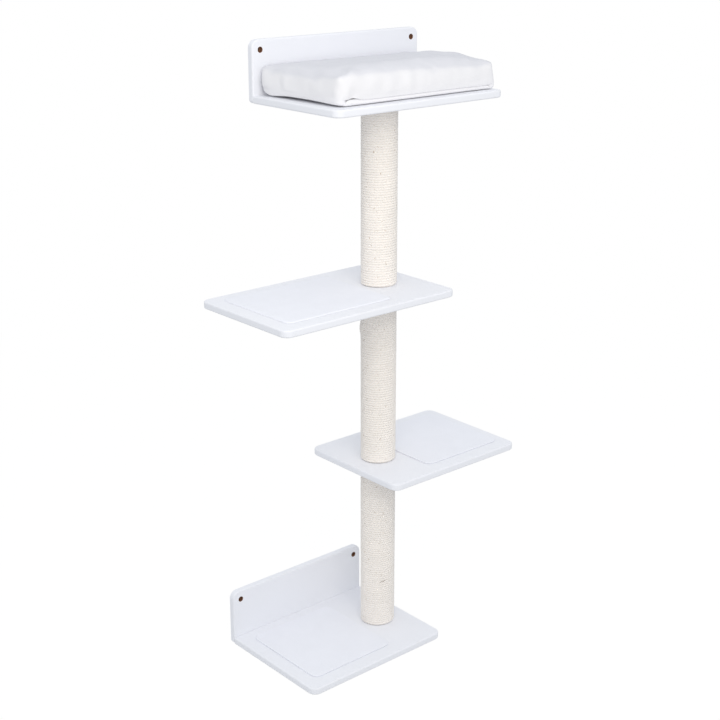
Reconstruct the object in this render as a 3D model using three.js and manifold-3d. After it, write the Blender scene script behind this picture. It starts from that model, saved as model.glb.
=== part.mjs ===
// Wall cat scratcher. Three rope-wound posts, joined end to end by studs, carry a lower and a
// middle platform and a top shelf with a cushion. Two upright panels, behind the base plate and
// behind the top shelf, take the screws that hold the tower against the wall.
// Millimetres, +Z up, wall on the +Y side. The origin is on the floor under the middle of the object.

import * as THREE from "three";
import { mergeVertices } from "three/addons/utils/BufferGeometryUtils.js";
import Module from "manifold-3d";

const wasm = await Module();
wasm.setup();

// Boards
const BOARD_THICKNESS = 18;
const BOARD_DEPTH = 330;
const BOARD_CORNER_RADIUS = 22;
const EDGE_ROUNDING = 4;
const BASE_WIDTH = 435;
const LOWER_WIDTH = 432;
const MIDDLE_WIDTH = 530;
const SHELF_WIDTH = 530;
const SHELF_DEPTH = 310;

// Places of the boards about the post axis
const POST_TO_PANEL = 165;
const BASE_RIGHT_OVERHANG = 81;
const LOWER_LEFT_OVERHANG = 89;
const MIDDLE_RIGHT_OVERHANG = 108;
const SHELF_SHIFT = 13;

// Upright panels behind the base plate and the top shelf
const PANEL_HEIGHT = 148;
const PANEL_THICKNESS = 18;
const PANEL_TOP_RADIUS = 20;
const PANEL_FOOT_RADIUS = 8;
const WALL_HOLE_INSET = 24;
const WALL_HOLE_DIAMETER = 5.5;
const WALL_HOLE_HEAD_DIAMETER = 13;
const WALL_HOLE_HEAD_DEPTH = 7;

// Posts: cardboard tube, wooden end plugs and the rope wound on the tube
const POST_HEIGHT = 450;
const TUBE_DIAMETER = 76;
const TUBE_WALL = 4;
const PLUG_THICKNESS = 20;
const ROPE_DIAMETER = 6;
const TURN_GAP = 0.6;
const STRAND_SHOULDER = 1.5;

// Pads laid on the base plate and the two platforms
const PAD_THICKNESS = 3;
const PAD_CORNER_RADIUS = 20;
const PAD_EDGE_ROUNDING = 1;
const PAD_FRONT_MARGIN = 40;
const PAD_BACK_MARGIN = 30;
const BASE_PAD_MARGIN = 37.5;
const LOWER_PAD_MARGIN = 26.5;
const MIDDLE_PAD_MARGIN = 39.5;
const PAD_POST_GAP = 17;

// Cushion on the top shelf and its zip
const CUSHION_SIDE_MARGIN = 23;
const CUSHION_FRONT_MARGIN = 18;
const CUSHION_PANEL_GAP = 6;
const CUSHION_HEIGHT = 78;
const CUSHION_WIDEST_HEIGHT = 30;
const CUSHION_SIDE_PULL = 5;
const CUSHION_CORNER_LIFT = 6;
const ZIP_END_MARGIN = 22;
const ZIP_HEIGHT = 10;
const ZIP_SETBACK = 15;
const ZIP_POCKET_HEIGHT = 12;
const ZIP_TAPE_HEIGHT = 10;
const ZIP_TAPE_THICKNESS = 1.2;
const ZIP_TEETH_HEIGHT = 4.5;
const ZIP_TEETH_THICKNESS = 1.6;
const ZIP_END_STOP = 3;
const SLIDER_LENGTH = 9;
const SLIDER_HEIGHT = 8;
const SLIDER_WALL = 1;
const SLIDER_BAIL_WIDTH = 2;

// Metal parts: bolts, studs, washers, flanged nuts and countersunk screws
const THREAD_DIAMETER = 8;
const THREAD_CLEARANCE = 0.2;
const BOLT_HEAD_DIAMETER = 16;
const BOLT_HEAD_HEIGHT = 4.5;
const BOLT_SOCKET_WIDTH = 5;
const BOLT_SOCKET_DEPTH = 3;
const WASHER_DIAMETER = 24;
const WASHER_THICKNESS = 1.6;
const HEAD_RECESS = 0.6;
const HEAD_CLEARANCE = 1;
const NUT_BARREL_DIAMETER = 10;
const NUT_BARREL_LENGTH = 15;
const NUT_FLANGE_DIAMETER = 22;
const NUT_FLANGE_THICKNESS = 1.6;
const THREAD_PROUD = 4;
const SCREW_DIAMETER = 5;
const SCREW_LENGTH = 50;
const SCREW_HEAD_DIAMETER = 10;
const SCREW_HEAD_HEIGHT = 3;
const SCREW_HEAD_RIM = 0.4;
const SCREW_TIP_LENGTH = 4;
const SCREW_SINK = 0.5;

// Clearances between pieces that touch, and the overrun of every cutting shape
const SEAT_GAP = 0.2;
const SLIDER_GAP = 0.3;
const OVERRUN = 2;

// Counts
const WRAP_TURNS = 24;
const WRAP_STEPS = 12;
const CORNER_STEPS = 3;
const EDGE_STEPS = 2;
const ROUND_STEPS = 24;
const SMALL_STEPS = 12;
const HEXAGON = 6;
const CUSHION_STEPS = { x: 14, y: 10, z: 6 };

// Shares: screw places along a panel, and how square the cushion is in plan, above and below
const SCREW_PLACE_SHARES = { left: 0.14, middle: 0.5, right: 0.86 };
const CUSHION_PLAN_SHARE = 9;
const CUSHION_TOP_SHARE = 3.6;
const CUSHION_FOOT_SHARE = 6;
const CUSHION_REST_SHARE = 0.97;

// Sizes that follow from the ones above
const TUBE_RADIUS = TUBE_DIAMETER / 2;
const WRAP_RADIUS = (TUBE_RADIUS + SEAT_GAP) / Math.cos(Math.PI / WRAP_STEPS);
const POST_RADIUS = WRAP_RADIUS + ROPE_DIAMETER;
const STOREY = BOARD_THICKNESS + POST_HEIGHT;
const LOWER_BOTTOM = STOREY;
const MIDDLE_BOTTOM = LOWER_BOTTOM + STOREY;
const SHELF_BOTTOM = MIDDLE_BOTTOM + STOREY;
const PANEL_FRONT = POST_TO_PANEL + SEAT_GAP;
const WALL_PLANE = PANEL_FRONT + PANEL_THICKNESS;
const BASE_SPAN = { left: BASE_RIGHT_OVERHANG - BASE_WIDTH, right: BASE_RIGHT_OVERHANG };
const LOWER_SPAN = { left: -LOWER_LEFT_OVERHANG, right: LOWER_WIDTH - LOWER_LEFT_OVERHANG };
const MIDDLE_SPAN = { left: MIDDLE_RIGHT_OVERHANG - MIDDLE_WIDTH, right: MIDDLE_RIGHT_OVERHANG };
const SHELF_SPAN = { left: SHELF_SHIFT - SHELF_WIDTH / 2, right: SHELF_SHIFT + SHELF_WIDTH / 2 };
const BORE_RADIUS = THREAD_DIAMETER / 2 + THREAD_CLEARANCE;
const HEAD_BORE_RADIUS = WASHER_DIAMETER / 2 + HEAD_CLEARANCE;
const HEAD_BORE_DEPTH = WASHER_THICKNESS + BOLT_HEAD_HEIGHT + HEAD_RECESS;
const SHELF_BORE_FLOOR = BOARD_THICKNESS - HEAD_BORE_DEPTH;
const THREAD_REACH = PLUG_THICKNESS + NUT_FLANGE_THICKNESS + THREAD_PROUD;
const CUSHION_WIDTH = SHELF_WIDTH - 2 * CUSHION_SIDE_MARGIN;
const CUSHION_DEPTH = SHELF_DEPTH - CUSHION_FRONT_MARGIN - CUSHION_PANEL_GAP;
const ZIP_LENGTH = CUSHION_WIDTH - 2 * ZIP_END_MARGIN;

const MATERIALS = {
  paintedBoard: { color: new THREE.Color(0xeceef3), roughness: 0.45, metalness: 0 },
  rope: { color: new THREE.Color(0xe9e2d6), roughness: 0.95, metalness: 0 },
  pad: { color: new THREE.Color(0xe9eaf0), roughness: 0.9, metalness: 0 },
  cushion: { color: new THREE.Color(0xeeeeef), roughness: 0.9, metalness: 0 },
  zipTape: { color: new THREE.Color(0xe2e2e4), roughness: 0.85, metalness: 0 },
  zipMetal: { color: new THREE.Color(0x8d8f93), roughness: 0.35, metalness: 1 },
  cardboard: { color: new THREE.Color(0xb49a78), roughness: 0.9, metalness: 0 },
  wood: { color: new THREE.Color(0xc9a77c), roughness: 0.8, metalness: 0 },
  steel: { color: new THREE.Color(0xbfc2c6), roughness: 0.35, metalness: 1 },
};

function makeMesh(name, geometry, material) {
  const mesh = new THREE.Mesh(geometry, new THREE.MeshStandardMaterial(material));
  mesh.name = name;
  return mesh;
}

// Cutting: a closed geometry becomes a solid, tools are taken away, and a geometry comes back
function mergedGeometry(geometry) {
  const bare = new THREE.BufferGeometry();
  bare.setAttribute("position", geometry.getAttribute("position").clone());
  bare.setIndex(geometry.getIndex());
  return mergeVertices(bare);
}

function solidOf(geometry) {
  const merged = mergedGeometry(geometry);
  const vertProperties = new Float32Array(merged.getAttribute("position").array);
  const triVerts = new Uint32Array(merged.getIndex().array);
  return new wasm.Manifold(new wasm.Mesh({ numProp: 3, vertProperties, triVerts }));
}

function geometryOf(solid) {
  const mesh = solid.getMesh();
  const geometry = new THREE.BufferGeometry();
  geometry.setAttribute("position", new THREE.BufferAttribute(mesh.vertProperties, 3));
  geometry.setIndex(new THREE.BufferAttribute(mesh.triVerts, 1));
  return geometry;
}

function cut(geometry, tools) {
  const solid = tools.reduce((rest, tool) => rest.subtract(solidOf(tool)), solidOf(geometry));
  return geometryOf(solid);
}

// Round shapes standing on z = bottom, and the same lying along Y
function roundBar(radius, bottom, top, steps = SMALL_STEPS) {
  const bar = new THREE.CylinderGeometry(radius, radius, top - bottom, steps);
  bar.rotateX(Math.PI / 2);
  bar.translate(0, 0, (top + bottom) / 2);
  return bar;
}

function barAlongY(radius, front, back, x, z, steps = SMALL_STEPS) {
  const bar = new THREE.CylinderGeometry(radius, radius, back - front, steps);
  bar.translate(x, (front + back) / 2, z);
  return bar;
}

// A revolved piece: its profile is a list of [radius, height], turned about Z
function turned(profile, steps) {
  const points = profile.map(([radius, height]) => new THREE.Vector2(radius, height));
  const lathe = new THREE.LatheGeometry(points, steps);
  lathe.rotateX(Math.PI / 2);
  return mergedGeometry(lathe);
}

function ring(inner, outer, bottom, top, steps) {
  const corners = [[inner, bottom], [outer, bottom], [outer, top], [inner, top], [inner, bottom]];
  return turned(corners, steps);
}

function boxBetween(low, high) {
  const size = new THREE.Vector3().subVectors(high, low);
  const box = new THREE.BoxGeometry(size.x, size.y, size.z);
  const middle = new THREE.Vector3().addVectors(low, high).multiplyScalar(1 / 2);
  box.translate(middle.x, middle.y, middle.z);
  return box;
}

// A rectangle with its own radius at each corner, as a closed shape
function roundedOutline(left, right, low, high, lowRadius, highRadius) {
  const quarter = Math.PI / 2;
  const shape = new THREE.Shape();
  shape.absarc(left + lowRadius, low + lowRadius, lowRadius, 2 * quarter, 3 * quarter);
  shape.absarc(right - lowRadius, low + lowRadius, lowRadius, 3 * quarter, 4 * quarter);
  shape.absarc(right - highRadius, high - highRadius, highRadius, 0, quarter);
  shape.absarc(left + highRadius, high - highRadius, highRadius, quarter, 2 * quarter);
  shape.closePath();
  return shape;
}

// A slab with rounded edges all round, from z = 0 up to its thickness
function roundedSlab(shape, thickness, rounding, edgeSteps) {
  const slab = new THREE.ExtrudeGeometry(shape, {
    depth: thickness - 2 * rounding,
    bevelThickness: rounding,
    bevelSize: rounding,
    bevelOffset: -rounding,
    bevelSegments: edgeSteps,
    curveSegments: CORNER_STEPS,
  });
  slab.translate(0, 0, rounding);
  return slab;
}

function screwPlaces(span) {
  const width = span.right - span.left;
  const place = ([side, share]) => [side, span.left + share * width];
  return Object.entries(SCREW_PLACE_SHARES).map(place);
}

// Boards: platforms are rounded all round, and boards that meet a panel have a square back edge
function platformGeometry(span) {
  const radius = BOARD_CORNER_RADIUS;
  const front = POST_TO_PANEL - BOARD_DEPTH;
  const shape = roundedOutline(span.left, span.right, front, POST_TO_PANEL, radius, radius);
  const slab = roundedSlab(shape, BOARD_THICKNESS, EDGE_ROUNDING, EDGE_STEPS);
  return cut(slab, [roundBar(BORE_RADIUS, -OVERRUN, BOARD_THICKNESS + OVERRUN)]);
}

function screwPilot(x) {
  const radius = SCREW_DIAMETER / 2 + SEAT_GAP;
  const front = WALL_PLANE - SCREW_SINK - SCREW_LENGTH - SEAT_GAP;
  return barAlongY(radius, front, POST_TO_PANEL + OVERRUN, x, BOARD_THICKNESS / 2);
}

function panelledBoardGeometry(span, depth, headBoreBottom, headBoreTop) {
  const back = POST_TO_PANEL + 2 * EDGE_ROUNDING;
  const front = POST_TO_PANEL - depth;
  const backRadius = EDGE_ROUNDING + OVERRUN;
  const shape = roundedOutline(span.left, span.right, front, back, BOARD_CORNER_RADIUS, backRadius);
  const slab = roundedSlab(shape, BOARD_THICKNESS, EDGE_ROUNDING, EDGE_STEPS);
  const backTrim = boxBetween(
    new THREE.Vector3(span.left - OVERRUN, POST_TO_PANEL, -OVERRUN),
    new THREE.Vector3(span.right + OVERRUN, back + OVERRUN, BOARD_THICKNESS + OVERRUN),
  );
  const bore = roundBar(BORE_RADIUS, -OVERRUN, BOARD_THICKNESS + OVERRUN);
  const headBore = roundBar(HEAD_BORE_RADIUS, headBoreBottom, headBoreTop, ROUND_STEPS);
  const pilots = screwPlaces(span).map(([, x]) => screwPilot(x));
  return cut(slab, [backTrim, bore, headBore, ...pilots]);
}

// Upright panel: local z = 0 is its foot and local y = 0 its front face
function panelGeometry(span) {
  const { left, right } = span;
  const shape = roundedOutline(left, right, 0, PANEL_HEIGHT, PANEL_FOOT_RADIUS, PANEL_TOP_RADIUS);
  const slab = roundedSlab(shape, PANEL_THICKNESS, EDGE_ROUNDING, EDGE_STEPS);
  slab.rotateX(Math.PI / 2);
  slab.translate(0, PANEL_THICKNESS, 0);
  const holeHeight = PANEL_HEIGHT - WALL_HOLE_INSET;
  const bore = WALL_HOLE_DIAMETER / 2;
  const head = WALL_HOLE_HEAD_DIAMETER / 2;
  const holes = [left + WALL_HOLE_INSET, right - WALL_HOLE_INSET].flatMap((x) => [
    barAlongY(bore, -OVERRUN, PANEL_THICKNESS + OVERRUN, x, holeHeight),
    barAlongY(head, -OVERRUN, WALL_HOLE_HEAD_DEPTH, x, holeHeight, ROUND_STEPS),
  ]);
  const seats = screwPlaces(span).map(([, x]) => screwSeat(x));
  return cut(slab, [...holes, ...seats]);
}

// Countersunk screw lying along Y, point forwards, with the face of its head at y = 0.
// The seat that a panel is cut for is the same form, grown by a clearance and open behind.
function screwForm(clearance, above) {
  const shank = SCREW_DIAMETER / 2 + clearance;
  const head = SCREW_HEAD_DIAMETER / 2 + clearance;
  const end = -SCREW_LENGTH - clearance;
  const profile = [
    [0, end],
    [shank, end + SCREW_TIP_LENGTH],
    [shank, -SCREW_HEAD_HEIGHT - clearance],
    [head, -SCREW_HEAD_RIM - clearance],
    [head, above],
    [0, above],
  ];
  const form = turned(profile, SMALL_STEPS);
  form.rotateX(-Math.PI / 2);
  return form;
}

function screwSeat(x) {
  const seat = screwForm(SEAT_GAP, SCREW_SINK + OVERRUN);
  seat.translate(x, PANEL_THICKNESS - SCREW_SINK, BOARD_THICKNESS / 2);
  return seat;
}

// Post parts, in a frame whose z = 0 is the top of the board the post stands on
function plugGeometry() {
  const bore = NUT_BARREL_DIAMETER / 2 + THREAD_CLEARANCE;
  const outer = TUBE_RADIUS - TUBE_WALL - SEAT_GAP;
  return ring(bore, outer, 0, PLUG_THICKNESS, ROUND_STEPS);
}

// Flanged nut: its flange lies on the plug's inner face and its barrel reaches into the plug
function nutGeometry() {
  const barrel = NUT_BARREL_DIAMETER / 2;
  const profile = [
    [BORE_RADIUS, -NUT_BARREL_LENGTH],
    [barrel, -NUT_BARREL_LENGTH],
    [barrel, SEAT_GAP],
    [NUT_FLANGE_DIAMETER / 2, SEAT_GAP],
    [NUT_FLANGE_DIAMETER / 2, NUT_FLANGE_THICKNESS],
    [BORE_RADIUS, NUT_FLANGE_THICKNESS],
    [BORE_RADIUS, -NUT_BARREL_LENGTH],
  ];
  return turned(profile, SMALL_STEPS);
}

// The rope: strands laid side by side go up the tube as one band. The band starts one strand wide
// on the board below, reaches its full width within a turn, and narrows again under the board above.
function ropeRings(height) {
  const end = ROPE_DIAMETER;
  const pitch = (height - 2 * end - TURN_GAP) / (WRAP_TURNS - 1);
  const band = pitch - TURN_GAP;
  const rings = [];
  for (let i = 0; i <= WRAP_TURNS * WRAP_STEPS; i += 1) {
    const climbed = end + (pitch * i) / WRAP_STEPS;
    const high = Math.min(height, climbed);
    const low = Math.max(0, climbed - band);
    const corners = [
      [WRAP_RADIUS, low],
      [POST_RADIUS, low + STRAND_SHOULDER],
      [POST_RADIUS, high - STRAND_SHOULDER],
      [WRAP_RADIUS, high],
    ];
    const angle = Math.PI / 2 + (2 * Math.PI * i) / WRAP_STEPS;
    const [across, along] = [Math.cos(angle), Math.sin(angle)];
    rings.push(corners.map(([radius, z]) => new THREE.Vector3(radius * across, radius * along, z)));
  }
  return rings;
}

function leastGapBetweenTurns(rings) {
  let least = Infinity;
  for (let i = 0; i + WRAP_STEPS < rings.length; i += 1) {
    for (const below of rings[i]) {
      for (const above of rings[i + WRAP_STEPS]) {
        least = Math.min(least, below.distanceTo(above));
      }
    }
  }
  return least;
}

function tubeFromRings(rings) {
  const sides = rings[0].length;
  const last = (rings.length - 1) * sides;
  const indices = [];
  for (let i = 0; i + 1 < rings.length; i += 1) {
    for (let k = 0; k < sides; k += 1) {
      const here = i * sides + k;
      const next = i * sides + ((k + 1) % sides);
      indices.push(here, here + sides, next, next, here + sides, next + sides);
    }
  }
  for (let k = 1; k + 1 < sides; k += 1) {
    indices.push(0, k, k + 1, last, last + k + 1, last + k);
  }
  const positions = rings.flat().flatMap((point) => point.toArray());
  const tube = new THREE.BufferGeometry();
  tube.setAttribute("position", new THREE.Float32BufferAttribute(positions, 3));
  tube.setIndex(indices);
  return tube;
}

function makePost(name, boardBottom) {
  const post = new THREE.Group();
  const height = POST_HEIGHT - 2 * SEAT_GAP;
  post.position.z = boardBottom + BOARD_THICKNESS + SEAT_GAP;

  const tube = ring(TUBE_RADIUS - TUBE_WALL, TUBE_RADIUS, 0, height, ROUND_STEPS);
  post.add(makeMesh(`${name}_tube`, tube, MATERIALS.cardboard));

  const rings = ropeRings(height);
  console.log(`${name}: least gap between turns of rope ${leastGapBetweenTurns(rings).toFixed(2)} mm`);
  post.add(makeMesh(`${name}_rope`, tubeFromRings(rings), MATERIALS.rope));

  const footPlug = makeMesh(`${name}_foot_plug`, plugGeometry(), MATERIALS.wood);
  const headPlug = makeMesh(`${name}_head_plug`, plugGeometry(), MATERIALS.wood);
  headPlug.position.z = height - PLUG_THICKNESS;
  const footNut = makeMesh(`${name}_foot_nut`, nutGeometry(), MATERIALS.steel);
  footNut.position.z = PLUG_THICKNESS;
  const headNut = makeMesh(`${name}_head_nut`, nutGeometry(), MATERIALS.steel);
  headNut.rotation.x = Math.PI;
  headNut.position.z = height - PLUG_THICKNESS;
  post.add(footPlug, headPlug, footNut, headNut);
  return post;
}

// Bolt with its head's bearing face at z = 0, head upwards and shank downwards
function boltGeometry() {
  const shank = THREAD_DIAMETER / 2;
  const head = BOLT_HEAD_DIAMETER / 2;
  const length = WASHER_THICKNESS + BOARD_THICKNESS - HEAD_BORE_DEPTH + THREAD_REACH;
  const profile = [
    [0, -length],
    [shank, -length],
    [shank, 0],
    [head, 0],
    [head, BOLT_HEAD_HEIGHT],
    [0, BOLT_HEAD_HEIGHT],
  ];
  const socketRadius = BOLT_SOCKET_WIDTH / 2 / Math.cos(Math.PI / HEXAGON);
  const socketFloor = BOLT_HEAD_HEIGHT - BOLT_SOCKET_DEPTH;
  const socket = roundBar(socketRadius, socketFloor, BOLT_HEAD_HEIGHT + OVERRUN, HEXAGON);
  return cut(turned(profile, SMALL_STEPS), [socket]);
}

function washerGeometry() {
  return ring(BORE_RADIUS, WASHER_DIAMETER / 2, SEAT_GAP, WASHER_THICKNESS, ROUND_STEPS);
}

// A bolt and washer in the head bore of the base plate (from below) or of the top shelf (from above)
function makeBoltSet(name, boreFloor, upward) {
  const set = new THREE.Group();
  set.position.z = boreFloor;
  set.rotation.x = upward ? 0 : Math.PI;
  const bolt = makeMesh(`${name}_bolt`, boltGeometry(), MATERIALS.steel);
  bolt.position.z = WASHER_THICKNESS + SEAT_GAP;
  set.add(bolt, makeMesh(`${name}_washer`, washerGeometry(), MATERIALS.steel));
  return set;
}

function makeStud(name, boardBottom) {
  const bottom = boardBottom - THREAD_REACH;
  const top = boardBottom + BOARD_THICKNESS + THREAD_REACH;
  return makeMesh(name, roundBar(THREAD_DIAMETER / 2, bottom, top), MATERIALS.steel);
}

// A panel with the screws that hold it to the board in front of it
function makePanel(name, span, boardBottom) {
  const group = new THREE.Group();
  group.position.set(0, PANEL_FRONT, boardBottom);
  group.add(makeMesh(`${name}_wall_panel`, panelGeometry(span), MATERIALS.paintedBoard));
  for (const [side, x] of screwPlaces(span)) {
    const screw = makeMesh(`${name}_panel_screw_${side}`, screwForm(0, 0), MATERIALS.steel);
    screw.position.set(x, PANEL_THICKNESS - SCREW_SINK, BOARD_THICKNESS / 2);
    group.add(screw);
  }
  return group;
}

function makeBoard(name, geometry, bottom) {
  const board = makeMesh(name, geometry, MATERIALS.paintedBoard);
  board.position.z = bottom;
  return board;
}

// A pad between the post and the far edge of its board
function makePad(name, left, right, boardBottom) {
  const front = POST_TO_PANEL - BOARD_DEPTH + PAD_FRONT_MARGIN;
  const back = POST_TO_PANEL - PAD_BACK_MARGIN;
  const shape = roundedOutline(left, right, front, back, PAD_CORNER_RADIUS, PAD_CORNER_RADIUS);
  const pad = makeMesh(name, roundedSlab(shape, PAD_THICKNESS, PAD_EDGE_ROUNDING, 1), MATERIALS.pad);
  pad.position.z = boardBottom + BOARD_THICKNESS + SEAT_GAP;
  return pad;
}

// Cushion: a crowned form that is square in plan and fuller below than above. Its sides are drawn in
// between the corners, its underside is flat where it rests, and its corners lift off the shelf.
function cushionPoint(u, v, w) {
  const power = w > 0 ? CUSHION_TOP_SHARE : CUSHION_FOOT_SHARE;
  const square = Math.abs(u) ** CUSHION_PLAN_SHARE + Math.abs(v) ** CUSHION_PLAN_SHARE;
  const plan = square ** (1 / CUSHION_PLAN_SHARE);
  const scale = (plan ** power + Math.abs(w) ** power) ** (-1 / power);
  const [a, b, c] = [u * scale, v * scale, w * scale];
  const pullX = CUSHION_SIDE_PULL * a * (1 - b * b);
  const pullY = CUSHION_SIDE_PULL * b * (1 - a * a);
  const above = CUSHION_HEIGHT - CUSHION_WIDEST_HEIGHT;
  const below = CUSHION_WIDEST_HEIGHT / CUSHION_REST_SHARE;
  const height = c > 0 ? c * above : Math.max(c, -CUSHION_REST_SHARE) * below;
  const lift = CUSHION_CORNER_LIFT * (a * b) ** 4 * (1 - Math.max(c, 0));
  return [
    a * (CUSHION_WIDTH / 2) - pullX,
    b * (CUSHION_DEPTH / 2) - pullY,
    CUSHION_WIDEST_HEIGHT + height + lift,
  ];
}

function cushionGeometry() {
  const { x, y, z } = CUSHION_STEPS;
  const form = mergedGeometry(new THREE.BoxGeometry(1, 1, 1, x, y, z));
  const position = form.getAttribute("position");
  const crowd = (share) => Math.sin(share * Math.PI);
  for (let i = 0; i < position.count; i += 1) {
    const shares = [position.getX(i), position.getY(i), position.getZ(i)];
    position.setXYZ(i, ...cushionPoint(...shares.map(crowd)));
  }
  const [end, front, half] = [ZIP_LENGTH / 2 + SLIDER_GAP, -CUSHION_DEPTH / 2, ZIP_POCKET_HEIGHT / 2];
  const pocket = boxBetween(
    new THREE.Vector3(-end, front - OVERRUN, ZIP_HEIGHT - half),
    new THREE.Vector3(end, front + ZIP_SETBACK, ZIP_HEIGHT + half),
  );
  return cut(form, [pocket]);
}

// Zip tape with its row of teeth, in a frame on the pocket's floor with -Y outwards
function zipTapeGeometry() {
  const face = ZIP_TAPE_THICKNESS + SEAT_GAP;
  const section = new THREE.Shape();
  section.moveTo(SEAT_GAP, -ZIP_TAPE_HEIGHT / 2);
  section.lineTo(face, -ZIP_TAPE_HEIGHT / 2);
  section.lineTo(face, -ZIP_TEETH_HEIGHT / 2);
  section.lineTo(face + ZIP_TEETH_THICKNESS, -ZIP_TEETH_HEIGHT / 2);
  section.lineTo(face + ZIP_TEETH_THICKNESS, ZIP_TEETH_HEIGHT / 2);
  section.lineTo(face, ZIP_TEETH_HEIGHT / 2);
  section.lineTo(face, ZIP_TAPE_HEIGHT / 2);
  section.lineTo(SEAT_GAP, ZIP_TAPE_HEIGHT / 2);
  section.closePath();
  return sectionAlongX(section, ZIP_LENGTH);
}

// A section drawn in outward depth and height, drawn out along +X from x = 0
function sectionAlongX(section, length) {
  const bar = new THREE.ExtrudeGeometry(section, { depth: length, bevelEnabled: false });
  bar.rotateX(Math.PI / 2);
  bar.rotateZ(-Math.PI / 2);
  bar.translate(length, 0, 0);
  return bar;
}

// Slider: a channel that straddles the teeth, with the small bail that a pull would hang from
function sliderGeometry() {
  const back = SEAT_GAP + ZIP_TAPE_THICKNESS + SLIDER_GAP;
  const inner = SEAT_GAP + ZIP_TAPE_THICKNESS + ZIP_TEETH_THICKNESS + SLIDER_GAP;
  const outer = inner + SLIDER_WALL;
  const half = SLIDER_HEIGHT / 2;
  const slot = ZIP_TEETH_HEIGHT / 2 + SLIDER_GAP;
  const bail = SLIDER_BAIL_WIDTH / 2;
  const section = new THREE.Shape();
  section.moveTo(back, -half);
  section.lineTo(outer, -half);
  section.lineTo(outer, -bail);
  section.lineTo(outer + SLIDER_WALL, -bail);
  section.lineTo(outer + SLIDER_WALL, bail);
  section.lineTo(outer, bail);
  section.lineTo(outer, half);
  section.lineTo(back, half);
  section.lineTo(back, slot);
  section.lineTo(inner, slot);
  section.lineTo(inner, -slot);
  section.lineTo(back, -slot);
  section.closePath();
  return sectionAlongX(section, SLIDER_LENGTH);
}

function makeCushionSet() {
  const set = new THREE.Group();
  const middleY = POST_TO_PANEL - CUSHION_PANEL_GAP - CUSHION_DEPTH / 2;
  set.position.set(SHELF_SHIFT, middleY, SHELF_BOTTOM + BOARD_THICKNESS + SEAT_GAP);
  const zip = new THREE.Group();
  zip.position.set(-ZIP_LENGTH / 2, -CUSHION_DEPTH / 2 + ZIP_SETBACK, ZIP_HEIGHT);
  const slider = makeMesh("cushion_zip_slider", sliderGeometry(), MATERIALS.zipMetal);
  slider.position.x = ZIP_END_STOP;
  zip.add(makeMesh("cushion_zip_tape", zipTapeGeometry(), MATERIALS.zipTape), slider);
  set.add(makeMesh("cushion", cushionGeometry(), MATERIALS.cushion), zip);
  return set;
}

const scratcher = new THREE.Group();
const baseGeometry = panelledBoardGeometry(BASE_SPAN, BOARD_DEPTH, -OVERRUN, HEAD_BORE_DEPTH);
const shelfBoreTop = BOARD_THICKNESS + OVERRUN;
const shelfGeometry = panelledBoardGeometry(SHELF_SPAN, SHELF_DEPTH, SHELF_BORE_FLOOR, shelfBoreTop);

scratcher.add(makeBoard("base_plate", baseGeometry, 0));
scratcher.add(makeBoard("lower_platform", platformGeometry(LOWER_SPAN), LOWER_BOTTOM));
scratcher.add(makeBoard("middle_platform", platformGeometry(MIDDLE_SPAN), MIDDLE_BOTTOM));
scratcher.add(makeBoard("top_shelf", shelfGeometry, SHELF_BOTTOM));

scratcher.add(makePanel("base", BASE_SPAN, 0));
scratcher.add(makePanel("top", SHELF_SPAN, SHELF_BOTTOM));

scratcher.add(makePost("lower_post", 0));
scratcher.add(makePost("middle_post", LOWER_BOTTOM));
scratcher.add(makePost("upper_post", MIDDLE_BOTTOM));

scratcher.add(makeBoltSet("base", HEAD_BORE_DEPTH, false));
scratcher.add(makeStud("lower_stud", LOWER_BOTTOM));
scratcher.add(makeStud("upper_stud", MIDDLE_BOTTOM));
scratcher.add(makeBoltSet("shelf", SHELF_BOTTOM + SHELF_BORE_FLOOR, true));

const padStart = POST_RADIUS + PAD_POST_GAP;
scratcher.add(makePad("base_pad", BASE_SPAN.left + BASE_PAD_MARGIN, -padStart, 0));
scratcher.add(makePad("lower_pad", padStart, LOWER_SPAN.right - LOWER_PAD_MARGIN, LOWER_BOTTOM));
scratcher.add(makePad("middle_pad", MIDDLE_SPAN.left + MIDDLE_PAD_MARGIN, -padStart, MIDDLE_BOTTOM));

scratcher.add(makeCushionSet());

// The origin goes to the middle of the footprint
const leftmost = Math.min(BASE_SPAN.left, LOWER_SPAN.left, MIDDLE_SPAN.left, SHELF_SPAN.left);
const rightmost = Math.max(BASE_SPAN.right, LOWER_SPAN.right, MIDDLE_SPAN.right, SHELF_SPAN.right);
const foremost = POST_TO_PANEL - Math.max(BOARD_DEPTH, SHELF_DEPTH);
scratcher.position.set(-(leftmost + rightmost) / 2, -(foremost + WALL_PLANE) / 2, 0);

export default scratcher;
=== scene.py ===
"""Wall cat scratcher: boards, rope-wound posts, pads and a cushion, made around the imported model.

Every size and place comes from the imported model's nodes. Each operator makes one group of
pieces, and the panel in the 3D view's sidebar lists them."""

import math

import bpy
import numpy as np
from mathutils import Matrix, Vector


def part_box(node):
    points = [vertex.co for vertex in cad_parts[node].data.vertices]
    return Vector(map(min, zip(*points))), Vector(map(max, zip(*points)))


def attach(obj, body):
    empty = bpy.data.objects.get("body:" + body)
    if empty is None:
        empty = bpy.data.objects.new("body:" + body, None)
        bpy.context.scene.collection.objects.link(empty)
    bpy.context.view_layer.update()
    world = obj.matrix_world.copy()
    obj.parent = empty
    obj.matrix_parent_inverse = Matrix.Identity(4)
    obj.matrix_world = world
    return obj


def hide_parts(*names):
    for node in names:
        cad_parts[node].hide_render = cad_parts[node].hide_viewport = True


bl_info = {
    "name": "Wall cat scratcher",
    "version": (1, 0, 0),
    "blender": (4, 5, 0),
    "location": "3D View > Sidebar > Scratcher",
    "description": "Makes the visible pieces of a wall cat scratcher around its packed model",
    "category": "Object",
}

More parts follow.
